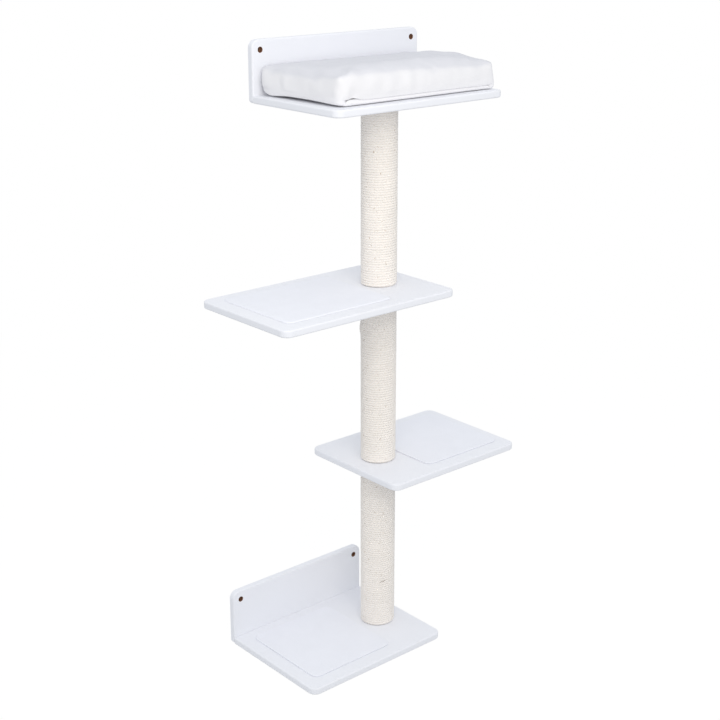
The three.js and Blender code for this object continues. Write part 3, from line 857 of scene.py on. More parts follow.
def make_bolts():
    """Button-head bolts with a hexagon socket, and their washers."""
    for name, upward in (("base", False), ("shelf", True)):
        low, high = node_box(f"{name}_bolt")
        washer_low, washer_high = node_box(f"{name}_washer")
        axis = (low + high) / 2
        head, shank = (high.x - low.x) / 2, bolt_bore() - BOLT_SPARE
        seat = washer_high.z + node_gap() if upward else washer_low.z - node_gap()
        tall = high.z - seat if upward else seat - low.z
        long = high.z - low.z - tall
        round_off = tall * DOME_SHARE
        dome = [
            (head - round_off * (1 - math.cos(turn)), tall - round_off * (1 - math.sin(turn)))
            for turn in np.linspace(0, QUARTER_TURN, 7)
        ]
        shaft = [(0, -long), (shank * 0.85, -long), (shank, -long + MM), (shank, 0), (head, 0)]
        bolt = finish(spun(f"{name}_bolt_turned", shaft + dome + [(0, tall)]), "plated_steel")
        deselect_all()
        bpy.ops.mesh.primitive_cylinder_add(
            vertices=6, radius=SOCKET_RADIUS, depth=2 * SOCKET_DEPTH, location=(0, 0, tall)
        )
        socket = bpy.context.object
        bpy.ops.object.transform_apply(location=True, rotation=True, scale=True)
        cut_away(bolt, socket)
        put(bolt, Vector((axis.x, axis.y, seat)), (0 if upward else math.pi, 0, 0))
        smooth_by_angle(bolt, 40)
        settle(bolt, TOWER, "zinc_steel", f"{name}_bolt")

        outer, inner = (washer_high.x - washer_low.x) / 2, shank + BOLT_SPARE
        bottom, top, ease = washer_low.z, washer_high.z, WASHER_EASE
        ring = [
            (inner, bottom),
            (outer - ease, bottom),
            (outer, bottom + ease),
            (outer, top - ease),
            (outer - ease, top),
            (inner, top),
            (inner, bottom),
        ]
        washer = put(spun(f"{name}_washer_turned", ring), Vector((axis.x, axis.y, 0)))
        smooth_by_angle(finish(washer, "plated_steel"), 40)
        settle(washer, TOWER, "zinc_steel", f"{name}_washer")


# Rope on the posts


THINNEST = 0.12  # Thickness of the rope's tapered ends, as a share of the rope's
SLACK, SWAY, PINCH = 0.28 * MM, 0.14 * MM, 0.1 * MM  # How far turns wander out, up and in
SIDES_PER_STRAND = 3
VALLEY_SHARE = 0.84  # Where two strands meet, as a share of the rope's thickness
UNEVEN_TWIST = 1.4
ROPE_CLEARANCE = 0.05 * MM


def wandering(random, angle, slowest, fastest, waves=7):
    """A smooth uneven value between about -1 and 1 along the rope."""
    total = np.zeros_like(angle)
    for frequency in np.geomspace(slowest, fastest, waves):
        total += np.sin(angle * frequency + random.uniform(0, FULL_TURN))
    return total / waves**0.5 / 1.5


def rope_sections(settings, height):
    """Angle, thickness share and height of the rope's sections. Its first and last turn taper."""
    steps = settings.steps
    index = np.arange((settings.turns + 2) * steps + 1)
    turn = index / steps
    half = height / (settings.turns + 1) / 2
    climb = (height - 2 * half) / settings.turns
    from_end = np.minimum(turn, settings.turns + 2 - turn)
    share = np.minimum(1, THINNEST + (1 - THINNEST) * from_end)
    middle = half + climb * (turn - 1)
    middle = np.where(turn < 1, half * share, middle)
    middle = np.where(turn > settings.turns + 1, height - half * share, middle)
    return turn * FULL_TURN, share, middle


def tube_faces(rows, sides, start=0):
    """Faces round a tube of rings of points, and its two ends, all pointing outwards."""
    part = np.arange(sides)
    ring = np.arange(rows - 1)[:, None] * sides + start
    here, beside = (ring + part).ravel(), (ring + (part + 1) % sides).ravel()
    quads = np.stack([here, here + sides, beside + sides, beside], axis=1).tolist()
    last = start + (rows - 1) * sides
    return quads + [list(range(start, start + sides)), list(range(last, last + sides))[::-1]]


# Where the rope stands off its tube: degrees round the post from the right, and height on it
BULGE = {
    "post": "middle_post",
    "angle": 143.0,
    "half_angle": 16.0,
    "height": 352 * MM,
    "half_height": 15 * MM,
    "stands_out": 3.0 * MM,
}


def bulge(angle, middle):
    off_side = (np.degrees(angle) + 90 - BULGE["angle"] + 180) % 360 - 180
    off_height = (middle - BULGE["height"]) / BULGE["half_height"]
    return BULGE["stands_out"] * np.exp(-((off_side / BULGE["half_angle"]) ** 2) - off_height**2)


def make_rope(post, seed):
    """One laid rope, wound on a post's tube from end to end."""
    settings = bpy.context.scene.scratcher_rope
    low, high = node_box(f"{post}_rope")
    axis = middle_of("lower_post_tube")
    random = np.random.default_rng(seed)
    angle, share, middle = rope_sections(settings, high.z - low.z)
    half_across, half_along = settings.across / 2, settings.along / 2
    slack = np.clip(wandering(random, angle, 0.02, 3.0), -1, 1) * SLACK
    sway = np.clip(wandering(random, angle, 0.3, 4.0), -1, 1) * SWAY * (share >= 1)
    reach = settings.core_diameter / 2 + half_across * share + np.maximum(slack, -PINCH) * share
    if post == BULGE["post"]:
        reach += bulge(angle, middle)
    travelled = np.cumsum(np.hypot(np.gradient(middle), reach * np.gradient(angle)))

    sides = settings.strands * SIDES_PER_STRAND
    part = np.arange(sides)
    valley = part % SIDES_PER_STRAND == 0
    uneven = UNEVEN_TWIST * wandering(random, angle, 0.05, 0.9)
    twist = FULL_TURN * travelled / settings.lay + uneven
    swing = FULL_TURN * part / sides + twist[:, None]
    thick = share[:, None] * np.where(valley, VALLEY_SHARE, 1.0)
    radius = reach[:, None] + half_across * thick * np.cos(swing)
    height = (middle + sway)[:, None] + half_along * thick * np.sin(swing)
    height = np.clip(height, ROPE_CLEARANCE, high.z - low.z - ROPE_CLEARANCE)
    around = angle[:, None] + QUARTER_TURN
    x, y = axis.x + radius * np.cos(around), axis.y + radius * np.sin(around)
    points = np.stack([x, y, low.z + height], axis=-1).reshape(-1, 3).tolist()
    piece = mesh_piece(f"{post}_sisal", points, tube_faces(len(angle), sides), "sisal")

    # The map runs along the rope, and once round it
    first, second = travelled[:-1, None], travelled[1:, None]
    quad_uv = np.empty((len(angle) - 1, sides, 4, 2))
    quad_uv[..., 0, 0] = quad_uv[..., 3, 0] = first
    quad_uv[..., 1, 0] = quad_uv[..., 2, 0] = second
    quad_uv[..., 0, 1] = quad_uv[..., 1, 1] = part / sides
    quad_uv[..., 2, 1] = quad_uv[..., 3, 1] = (part + 1) / sides
    set_uv(piece, np.concatenate([quad_uv.reshape(-1, 2), np.zeros((2 * sides, 2))]))
    # The hollow attribute marks the valleys where the material paints shade between the strands
    set_attribute(piece, "hollow", np.tile(valley, len(angle)))
    smooth(piece)
    settle(piece, TOWER, "sisal_rope", f"{post}_rope")


def ring_points(axis, reach, turn, rise, width, sides):
    """The points round one section of a thin fibre that runs round a post."""
    for side in range(sides):
        swing = FULL_TURN * side / sides
        radial, height = reach + width * math.cos(swing), rise + width * math.sin(swing)
        yield axis.x + radial * math.cos(turn), axis.y + radial * math.sin(turn), height


FIBRE_WIDTH = 0.11 * MM
FIBRE_LENGTHS, FIBRE_LIFTS = (5, 17), (0.6, 2.4)  # In millimetres
FIBRE_MARGIN = 6 * MM  # No fibre starts nearer than this to a board
FIBRE_SUNK = 0.8 * MM  # How deep in the rope a fibre starts
FIBRE_JOINTS, FIBRE_SIDES = 5, 3


def make_fibres(post, seed):
    """Loose fibres that curl off the rope."""
    settings = bpy.context.scene.scratcher_rope
    low, high = node_box(f"{post}_rope")
    axis = middle_of("lower_post_tube")
    random = np.random.default_rng(seed)
    outer = settings.core_diameter / 2 + settings.across
    points, faces = [], []
    for _ in range(settings.fibres):
        around = random.uniform(0, FULL_TURN)
        up = random.uniform(low.z + FIBRE_MARGIN, high.z - FIBRE_MARGIN)
        long, lift = random.uniform(*FIBRE_LENGTHS) * MM, random.uniform(*FIBRE_LIFTS) * MM
        slope = random.normal(0, 0.5)
        faces += tube_faces(FIBRE_JOINTS, FIBRE_SIDES, len(points))
        for joint in range(FIBRE_JOINTS):
            run = joint / (FIBRE_JOINTS - 1)
            reach = outer - FIBRE_SUNK + lift * run**1.6 * 1.3
            turn = around + long * run * math.cos(slope) / outer
            rise = up + long * run * math.sin(slope) + lift * 0.6 * math.sin(run * 3)
            width = FIBRE_WIDTH * (1 - 0.7 * run)
            points += ring_points(axis, reach, turn, rise, width, FIBRE_SIDES)
    piece = mesh_piece(f"{post}_fibres", points, faces, "sisal")
    set_uv(piece, np.zeros((len(piece.data.loops), 2)))
    set_attribute(piece, "hollow", np.zeros(len(points)))
    smooth(piece)
    settle(piece, TOWER, "sisal_rope")


# The strand that has come loose on the lower post: where it lies round the post, in degrees from
# the front, its height above the base plate, and how it runs
LOOSE_STRAND = {
    "angle": -22.0,
    "height": 132 * MM,
    "length": 21 * MM,
    "rise": 9 * MM,
    "width": 0.42 * MM,
    "sunk": 0.3 * MM,
    "stands_out": 1.1 * MM,
    "bend": 0.8 * MM,
}
STRAND_JOINTS, STRAND_SIDES = 14, 6


def make_loose_strand():
    low, _ = node_box("lower_post_rope")
    axis = middle_of("lower_post_tube")
    settings = bpy.context.scene.scratcher_rope
    outer = settings.core_diameter / 2 + settings.across
    start = math.radians(-90 + LOOSE_STRAND["angle"])
    points = []
    for joint in range(STRAND_JOINTS):
        run = joint / (STRAND_JOINTS - 1)
        turn = start + (run - 0.5) * LOOSE_STRAND["length"] / outer
        arch = LOOSE_STRAND["stands_out"] * math.sin(math.pi * run) ** 2
        reach = outer - LOOSE_STRAND["sunk"] + arch
        rise = low.z + LOOSE_STRAND["height"] + LOOSE_STRAND["rise"] * (run - 0.5)
        rise += LOOSE_STRAND["bend"] * math.sin(7 * run)
        taper = 0.35 + 0.65 * math.sin(math.pi * min(run + 0.2, 1.0))
        points += ring_points(axis, reach, turn, rise, LOOSE_STRAND["width"] * taper, STRAND_SIDES)
    faces = tube_faces(STRAND_JOINTS, STRAND_SIDES)
    piece = mesh_piece("lower_post_loose_strand", points, faces, "dark_fibre")
    smooth(piece)
    settle(piece, TOWER, "sisal_rope")


# Pads


def rounded_corner(x, y, half_x, half_y, radius):
    """Moves points of a rectangle so that its corners become round."""
    over_x, over_y = np.abs(x) - (half_x - radius), np.abs(y) - (half_y - radius)
    inside = (over_x > 0) & (over_y > 0)
    longest = np.maximum(over_x, over_y)
    distance = np.hypot(over_x, over_y)
    ratio = np.where(inside, longest / np.maximum(distance, 1e-9), 1.0)
    new_x = np.where(inside, np.sign(x) * (half_x - radius + over_x * ratio), x)
    new_y = np.where(inside, np.sign(y) * (half_y - radius + over_y * ratio), y)
    in_corner = radius - np.hypot(over_x * ratio, over_y * ratio)
    on_side = np.minimum(half_x - np.abs(x), half_y - np.abs(y))
    return new_x, new_y, np.maximum(np.where(inside, in_corner, on_side), 0)


def grid_faces(columns, rows):
    faces = []
    for row in range(rows - 1):
        for column in range(columns - 1):
            first = row * columns + column
            faces.append((first, first + 1, first + columns + 1, first + columns))
    return faces


def grid_rim(columns, rows):
    """The points round a grid, in order."""
    return (
        list(range(columns))
        + [row * columns + columns - 1 for row in range(1, rows)]
        + [(rows - 1) * columns + column for column in reversed(range(columns - 1))]
        + [row * columns for row in reversed(range(1, rows - 1))]
    )


def spaced(half, edge, count_inside):
    """Places from -half to half, close together near both ends."""
    close = half - edge * np.array([0, 0.12, 0.3, 0.55, 1.0, 1.8])
    inner = np.linspace(-close[-1], close[-1], count_inside)
    return np.concatenate([-close[:-1], inner, close[:-1][::-1]])


# Each pad's rim: its width against the setting's, its thickness as a share of the pad's, and how
# far it stands off the board. The middle pad is pressed flat at its rim.
PAD_RIMS = {
    "base_pad": (1.0, 0.42, 0.3 * MM),
    "lower_pad": (1.0, 0.42, 0.3 * MM),
    "middle_pad": (3.2, 0.08, 0.0),
}
PAD_COLUMNS = 44
PAD_WAVES, PAD_WAVE_HEIGHT, PAD_SINK = 6, 0.09 * MM, 0.25 * MM
PAD_WAVE_RATES = (20, 90)  # In radians per metre
PAD_DRAW_IN = 0.6 * MM  # How much narrower a pad is underneath


def make_pad(node, seed):
    """A felt pad: rounded rim, slightly drawn under, with a surface that isn't quite flat."""
    settings = bpy.context.scene.scratcher_pads
    low, high = node_box(node)
    middle = (low + high) / 2
    half = (high - low) / 2
    random = np.random.default_rng(seed)
    width, rim_share, rim_lift = PAD_RIMS[node]
    width *= settings.edge
    xs, ys = spaced(half.x, width, PAD_COLUMNS), spaced(half.y, width, PAD_COLUMNS)
    x, y = (values.ravel() for values in np.meshgrid(xs, ys))
    x, y, edge = rounded_corner(x, y, half.x, half.y, settings.corner_radius)
    run = np.clip(edge / width, 0, 1)

    def wave(along):
        return np.sin(along * random.uniform(*PAD_WAVE_RATES) + random.uniform(0, 6))

    swell = sum(wave(x) * wave(y) for _ in range(PAD_WAVES))
    rounded = rim_share + (1 - rim_share) * np.sqrt(1 - (1 - run) ** 2)
    top = low.z + (high.z - low.z) * rounded + (PAD_WAVE_HEIGHT * swell - PAD_SINK) * run
    under = low.z + rim_lift * (1 - run) ** 2
    draw_in = 1 - PAD_DRAW_IN * (1 - run) / half.x
    upper = np.stack([middle.x + x, middle.y + y, top], axis=1)
    lower = np.stack([middle.x + x * draw_in, middle.y + y * draw_in, under], axis=1)
    faces, rim, total = grid_faces(len(xs), len(ys)), grid_rim(len(xs), len(ys)), len(upper)
    flipped = [tuple(index + total for index in reversed(face)) for face in faces]
    band = [(a, a + total, b + total, b) for a, b in zip(rim, rim[1:] + rim[:1])]
    points = np.concatenate([upper, lower]).tolist()
    piece = mesh_piece(f"{node}_felt", points, faces + flipped + band, "felt_fibres")
    select_only(piece)
    bpy.ops.object.mode_set(mode="EDIT")
    turn_faces_outwards()
    bpy.ops.object.shade_smooth_by_angle(angle=math.radians(60))
    settle(piece, TOWER, "pad_felt", node)


# Cushion


# The rows round the cushion's sides, in millimetres: how high each one is above the shelf and how
# far it lies in from the widest one. On the front the zip lies in a groove with a flap over it.
# Where the slider rests, the two lips rise and part a little. The upper rows are alike all round.
FRONT_HEIGHTS = (0, 2.4, 5.0, 12.4, 12.0, 3.9, 3.8, 15.6, 15.7, 12.2, 10.5, 14.3)
FRONT_INSETS = (17, 6.6, 4.2, 4.5, 5.3, 5.2, 12.2, 12.2, 5.5, 4.6, 3.1, 1.8)
FRONT_RISES = (0, 0, 2.0, 5.0, 5.0, 0, 0, 5.5, 5.5, 6.0, 6.0, 4.0)
FRONT_GAPES = (0, 0, -0.4, -1.4, -1.4, 0, 0, 0.6, 0.6, 1.4, 1.6, 0.8)
RISE_PLACE, RISE_WIDTH, GAPE_WIDTH = -152 * MM, 24 * MM, 7 * MM
SIDE_HEIGHTS = (0, 1.2, 3.2, 5.4, 7.5, 9.0, 10.5, 12.0, 13.5, 14.5, 15.5, 17.0)
SIDE_INSETS = (17, 6.4, 4.2, 3.2, 2.6, 2.2, 1.9, 1.7, 1.5, 1.4, 1.3, 1.1)
UPPER_HEIGHTS = (22, 30, 38, 46, 54, 62, 69)
UPPER_INSETS = (0.8, 0, 0, 0, 0, 0, 0)
ROWS = len(FRONT_HEIGHTS) + len(UPPER_HEIGHTS)
CUSHION_COLUMNS = (62, 38)
AT_FACE = 0.999  # Places on the cube past this lie in one of its faces
LIFT_REACH = 45 * MM  # How high up the left side its lifted edge still shows
LEFT_LEAN = 0.33  # How much the left end leans, as a share of the right end's lean
TOP_SHADE_SPREAD = (0.05, 0.7)  # How far up the cover faces where its painted top shade starts and is full


def ramp(value, start, full):
    """A smooth step from 0, where a value is at its start, to 1, where it is full."""
    share = np.clip((value - start) / (full - start), 0, 1)
    return share * share * (3 - 2 * share)


def bell(away, width):
    return np.exp(-((away / width) ** 2))


def cushion_shape(unit, low, high, settings):
    """A boxed cushion from places on a cube of -1 to 1: full corners, a soft rim and a crown.

    u, v and w are those places. Where a ramp starts and is full is given as a share of the
    half width or half depth, from the cushion's middle."""
    u, v, w = unit.T
    half_x, half_y = (high.x - low.x) / 2 + settings.fullness, (high.y - low.y) / 2
    x, y = u * half_x, v * half_y
    top, bottom = w > AT_FACE, w < -AT_FACE
    rows = (w + 1) / 2 * (ROWS - 1)
    full = UPPER_HEIGHTS[-1] * MM
    edge = np.minimum(half_x - np.abs(x), half_y - np.abs(y))

    on_front = ramp(-v, 0.98, 1) * ramp(np.abs(u), 0.925, 0.905)

    def profile(front, side, upper):
        """Values of the rows, taken from the front's list on the front and the sides' elsewhere."""
        plain = np.interp(rows, np.arange(ROWS), (*side, *upper)) * MM
        grooved = np.interp(rows, np.arange(ROWS), (*front, *upper)) * MM
        return plain + (grooved - plain) * on_front

    off_slider = x + (low.x + high.x) / 2 - RISE_PLACE
    no_change = (0,) * len(SIDE_HEIGHTS), (0,) * len(UPPER_HEIGHTS)
    height = profile(FRONT_HEIGHTS, SIDE_HEIGHTS, UPPER_HEIGHTS)
    height += profile(FRONT_RISES, *no_change) * bell(off_slider, RISE_WIDTH)
    height += profile(FRONT_GAPES, *no_change) * bell(off_slider, GAPE_WIDTH)
    inset = profile(FRONT_INSETS, SIDE_INSETS, UPPER_INSETS)
    near_corner = ramp(np.minimum(np.abs(u), np.abs(v)), 0.72, 1)
    crisp = 1 - 0.5 * ramp(-v, 0.3, 0.8) * (1 - ramp(u, -0.3, 0.6))
    rim_across, rim_down = (
        crisp * (rim + (settings.corner_rim - rim) * near_corner)
        for rim in (settings.rim_across, settings.rim_down)
    )
    over_top = 1 + np.clip(edge / rim_across, 0, 1)
    up_side = np.clip((height - full + rim_down) / rim_down, 0, 1)
    turn = np.where(top, over_top, up_side) * QUARTER_TURN / 2
    inset += rim_across * (1 - np.cos(turn))
    height = np.where(height > full - rim_down, full - rim_down * (1 - np.sin(turn)), height)
    inset = np.where(top, np.maximum(inset, edge), inset)
    inset = np.where(bottom, np.maximum(edge, SIDE_INSETS[0] * MM + edge * 0.8), inset)
    inset = np.where(top & (edge >= rim_across), edge, inset)

    x = x * (half_x - inset) / np.maximum(half_x - edge, 1e-6)
    y = y * (half_y - inset) / np.maximum(half_y - edge, 1e-6)
    ring_x, ring_y = half_x - inset, half_y - inset
    radius = settings.corner_radius * np.where((u < 0) & (v < 0), 2.0, 1.0)
    x, y, _ = rounded_corner(x, y, ring_x, ring_y, np.minimum(radius, np.minimum(ring_x, ring_y)))

    # Filling: a crown over the middle, a hump at the right end, a lower back and a higher front
    raised = ramp(height, 0, full)
    crown = (1 - np.abs(u) ** 6) * (1 - np.abs(v) ** 3.5)
    height += (high.z - low.z - full) * settings.crown * crown * raised
    back = ramp(v, -0.1, 0.8) * (0.5 - bell(u + 0.82, 0.25))
    right = ramp(u, 0.4, 0.9) * (1 - 0.5 * ramp(v, 0.3, 1))
    height -= settings.sag * raised * np.where(right > 0, np.maximum(back, right), back)
    height += settings.hump * raised * bell(v + 0.18, 0.5) * ramp(u, 0.25, 0.9)
    along_front = ramp(u, -0.98, -0.84) * (1 - 0.75 * ramp(u, 0.55, 0.95))
    height += settings.front_rise * raised * ramp(-v, 0.2, 0.8) * along_front

    # The ends lean out, and the left side's lower edge stands off the shelf
    across, forward = x / half_x, -y / half_y
    over_left = ramp(-across, 0.62, 0.86) * ramp(1.4 * (1 + forward), 0, 1)
    over_left *= 1 - 0.35 * ramp(forward, 0.1, 0.9)
    clear_of_zip = 1 - ramp(forward, 0.6, 0.8) * ramp(across, -0.94, -0.89)
    back_left = ramp(-u, 0.86, 1) * ramp(v, 0.8, 1)
    lift = settings.side_lift * (over_left * clear_of_zip + back_left)
    height += lift * ramp(height, LIFT_REACH, 0)
    x += settings.lean * ramp(u, 0.5, 1) * (1 - 0.8 * ramp(height, 0, full))
    x -= settings.lean * LEFT_LEAN * ramp(-u, 0.5, 1) * ramp(v, -0.3, 1)
    middle = (low + high) / 2
    return np.stack([middle.x + x, middle.y + y, low.z + height], axis=1)


def make_cushion():
    """Shapes a subdivided cube, lets its cover fill as cloth, and presses the folds into it."""
    settings = bpy.context.scene.scratcher_cushion
    low, high = node_box("cushion")
    piece = add_block("cushion_stuffed", Vector((-1, -1, -1)), Vector((1, 1, 1)))
    for axis, cells in enumerate((*CUSHION_COLUMNS, ROWS - 1)):
        others = [other for other in range(3) if other != axis]
        choose_edges(piece, lambda a, b: all(near(a[other], b[other]) for other in others))
        bpy.ops.mesh.subdivide(number_cuts=cells - 1)
        bpy.ops.object.mode_set(mode="OBJECT")
    unit = read_points(piece)
    start = cushion_shape(unit, low, high, settings)
    write_points(piece, start)
    finish(piece, "cover_weave")
    set_cushion_uv(piece, unit, low, high)
    simulate_cushion(piece, unit, start, settings, low, high)
    apply_modifier(piece, "SUBSURF", levels=1, render_levels=1)
    press_creases(piece, low)
    # The upper attribute carries the painted shade on the cover's top
    set_attribute(piece, "upper", ramp(read_points(piece, "normal")[:, 2], *TOP_SHADE_SPREAD))
    smooth(piece)
    settle(piece, TOWER, "cushion_cover", "cushion")


# Creases of the cover in millimetres: middle, direction, half length, half width and height, which
# is negative for a valley
CREASES = (
    ((262, -62, 1497), (0.35, 1, 0), 34, 4.5, 1.6),
    ((250, -70, 1498), (0.3, 1, 0), 30, 4.0, -1.5),
    ((240, -78, 1498), (0.3, 1, 0), 36, 4.5, 1.4),
    ((226, -82, 1499), (0.25, 1, 0), 28, 4.0, -1.2),
    ((-191, 78, 1462), (0, 0.12, 1), 24, 8.0, -1.2),
    ((-190, 58, 1464), (0, 0.1, 1), 24, 9.0, 0.7),
    ((-184, -129, 1484), (0, 0, 1), 19, 11.0, 4.2),
    ((-162, -122, 1500), (1, 0.8, 0), 12, 6.0, -2.6),
    ((-170, -131, 1482), (1, 0, -0.6), 9, 4.0, -1.4),
    ((-184, -114, 1481), (0, 1, -0.5), 9, 4.0, -1.2),
    ((-184, -128, 1456), (0, 0, 1), 20, 3.5, -1.0),
    ((-166, -133, 1458), (0, 0, 1), 22, 9.0, 1.4),
    ((-144, -133, 1458), (0, 0, 1), 22, 12.0, -0.9),
    ((-45, -132, 1458), (0.25, 0, 1), 22, 12.0, 1.0),
    ((-24, -132, 1456), (0.2, 0, 1), 20, 10.0, -0.8),
    ((22, -133, 1474), (0.12, 0, 1), 28, 12.0, 1.6),
    ((46, -133, 1472), (0.12, 0, 1), 28, 14.0, -1.6),
    ((100, 100, 1498), (1, 0.25, 0), 40, 5.0, -1.2),
    ((60, 84, 1500), (1, 0.2, 0), 34, 6.0, 1.0),
    ((285, -126, 1470), (0, 0.2, 1), 22, 5.0, -1.6),
)


# Shallow waves all over the slack cover: how many, their lengths from and to, and their height
SLACK_WAVES, SLACK_LENGTHS, SLACK_HEIGHT = 9, (30 * MM, 85 * MM), 0.32 * MM
FOLDS_SPREAD = (18 * MM, 24 * MM)  # Heights above the shelf where folds start and are full
CREASE_SEED = 71


def press_creases(piece, low):
    """Pushes ridges, valleys and shallow waves into the cover along its surface normals."""
    points, normals = read_points(piece), read_points(piece, "normal")
    push = np.zeros(len(points))
    for middle, direction, half_length, half_width, height in CREASES:
        away = points / MM - np.array(middle)
        line = np.array(direction) / np.linalg.norm(direction)
        along = away @ line
        aside = np.linalg.norm(away - along[:, None] * line, axis=1)
        push += height * MM * np.exp(-((along / half_length) ** 2) - (aside / half_width) ** 2)
    random = np.random.default_rng(CREASE_SEED)
    for _ in range(SLACK_WAVES):
        line = random.normal(size=3)
        line *= FULL_TURN / random.uniform(*SLACK_LENGTHS) / np.linalg.norm(line)
        push += SLACK_HEIGHT * np.sin(points @ line + random.uniform(0, FULL_TURN))
    push *= ramp(points[:, 2] - low.z, *FOLDS_SPREAD)
    write_points(piece, points + normals * push[:, None])


END_SHIFT, SIDE_SHIFT = 1.0, 0.5  # These keep the parts of the weave's map apart, in metres


def set_cushion_uv(piece, unit, low, high):
    """The weave's map: flat over the top and the underside, and round the sides."""
    mesh = piece.data
    half = (high - low) / 2
    corners = np.empty(len(mesh.loops), dtype=np.int64)
    mesh.loops.foreach_get("vertex_index", corners)
    centres = np.array([unit[list(face.vertices)].mean(axis=0) for face in mesh.polygons])
    sizes = np.array([face.loop_total for face in mesh.polygons])
    middle = np.repeat(centres, sizes, axis=0)
    x, y, z = (unit[corners] * np.array(half)).T
    on_side = np.abs(middle[:, 2]) < AT_FACE
    on_end = on_side & (np.abs(middle[:, 0]) > AT_FACE)
    first = np.where(on_end, y + np.sign(middle[:, 0]) * END_SHIFT, x)
    second = np.where(on_side, z + SIDE_SHIFT, y)
    set_uv(piece, np.stack([first, second], axis=1))


CLOTH_FRAMES = 24
CLOTH = {
    "quality": 7,
    "mass": 0.25,
    "tension_stiffness": 22,
    "compression_stiffness": 22,
    "shear_stiffness": 8,
    "bending_stiffness": 3.0,
    "use_pressure": True,
    "vertex_group_mass": "pinned",
    "pin_stiffness": 1.0,
    "vertex_group_shrink": "seam",
    "shrink_max": 0.02,
}
PAST_BACK = 4 * MM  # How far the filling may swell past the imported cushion's back


def simulate_cushion(piece, unit, start, settings, low, high):
    """Cloth under inside pressure, with spare cloth between its seams and a cap on its movement."""
    u, v, w = np.abs(unit[:, 0]), np.abs(unit[:, 1]), unit[:, 2]
    seams = (u > AT_FACE) & (v > AT_FACE)
    beside_zip = (w + 1) / 2 * (ROWS - 1) < len(FRONT_HEIGHTS) - 0.5
    for name, chosen in (("pinned", beside_zip | seams), ("seam", seams)):
        group = piece.vertex_groups.new(name=name)
        group.add(np.nonzero(chosen)[0].tolist(), 1.0, "REPLACE")
    select_only(piece)
    bpy.ops.object.modifier_add(type="CLOTH")
    cloth = piece.modifiers[-1]
    for key, value in CLOTH.items():
        setattr(cloth.settings, key, value)
    cloth.settings.uniform_pressure_force = settings.pressure
    cloth.settings.shrink_min = -settings.spare_cloth
    cloth.settings.effector_weights.gravity = 0.0
    cloth.point_cache.frame_start, cloth.point_cache.frame_end = 1, CLOTH_FRAMES
    scene = bpy.context.scene
    for step in range(1, CLOTH_FRAMES + 1):
        scene.frame_set(step)
    bpy.ops.object.modifier_apply(modifier=cloth.name)
    scene.frame_set(1)
    change = read_points(piece) - start
    size = np.linalg.norm(change, axis=1, keepdims=True)
    soft = settings.cap * np.tanh(size / settings.cap) / np.maximum(size, 1e-9)
    final = start + change * soft
    final[:, 2] = np.maximum(final[:, 2], low.z)
    final[:, 1] = np.minimum(final[:, 1], high.y + PAST_BACK)
    write_points(piece, final)


# Zip


TAPE_THICKNESS = 1.15 * MM
TAPE_SLIT = 0.6 * MM
TOOTH_PITCH = 2.4 * MM
TOOTH_LENGTH = 3.4 * MM
TOOTH_REACH = 0.55 * MM
TOOTH_HALF_WIDTH, TOOTH_SPARE = TOOTH_PITCH * 0.23, 0.02 * MM
TAPE_EDGE, TOOTH_EDGE, STOP_EDGE = 0.3 * MM, TOOTH_PITCH * 0.12, 0.4 * MM
STOP_LENGTH, STOP_PLACE = 2.4 * MM, 3 * MM
SLIDER_THICKNESS, SLIDER_END, SLIDER_EDGE = 0.7 * MM, 2.2 * MM, 0.25 * MM
CHANNEL_SPARE = (0.1 * MM, 0.2 * MM)  # Between the slider and the teeth, in front and above
BAIL_RADIUS, BAIL_WIRE = 1.25 * MM, 0.3 * MM
PULL_HALF_WIDTH, PULL_MARGIN, PULL_HOLE = 1.9 * MM, 0.3 * MM, 0.9 * MM
PULL_END, PULL_EDGE = 1.3 * MM, 0.15 * MM
PULL_FRONT, PULL_BACK = 0.15 * MM, 0.75 * MM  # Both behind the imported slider's front


def front_to_back(first, second):
    """Whether an edge runs from front to back."""
    return near(first.x, second.x) and near(first.z, second.z)


def make_zip():
    """Two woven tapes with a closed row of teeth between them."""
    low, high = node_box("cushion_zip_tape")
    middle = (low.z + high.z) / 2
    front = high.y - TAPE_THICKNESS
    parts = []
    for bottom, top in ((low.z, middle - TAPE_SLIT / 2), (middle + TAPE_SLIT / 2, high.z)):
        tape = add_block("tape", Vector((low.x, front, bottom)), Vector((high.x, high.y, top)))
        bevel_edges(tape, lambda a, b: near(a.y, b.y) and near(a.z, b.z), TAPE_EDGE, 2)
        parts.append(finish(tape, "tape_weave"))
    depth = (low.y + front) / 2 + TOOTH_SPARE
    half = Vector((TOOTH_HALF_WIDTH, (front - low.y) / 2 - TOOTH_SPARE, TOOTH_LENGTH / 2))
    for side in (-1, 1):
        first = low.x + TOOTH_PITCH + TOOTH_PITCH / 4 * (1 + side)
        centre = Vector((first, depth, middle + side * TOOTH_REACH))
        tooth = add_block("tooth", centre - half, centre + half)
        bevel_edges(tooth, lambda a, b: True, TOOTH_EDGE, 2)
        apply_modifier(
            finish(tooth, "nylon_teeth"),
            "ARRAY",
            count=int((high.x - low.x) / TOOTH_PITCH) - 2,
            use_relative_offset=False,
            use_constant_offset=True,
            constant_offset_displace=(TOOTH_PITCH, 0, 0),
        )
        parts.append(tooth)
    for x in (low.x, high.x - STOP_PLACE):
        start = Vector((x, low.y, middle - TOOTH_LENGTH / 2))
        end = Vector((x + STOP_LENGTH, front, middle + TOOTH_LENGTH / 2))
        stop = add_block("stop", start, end)
        bevel_edges(stop, lambda a, b: True, STOP_EDGE, 3)
        parts.append(finish(stop, "nylon_teeth"))
    whole = joined("cushion_zip", parts)
    smooth_by_angle(whole, 40)
    settle(whole, TOWER, "zip_tape", "cushion_zip_tape")


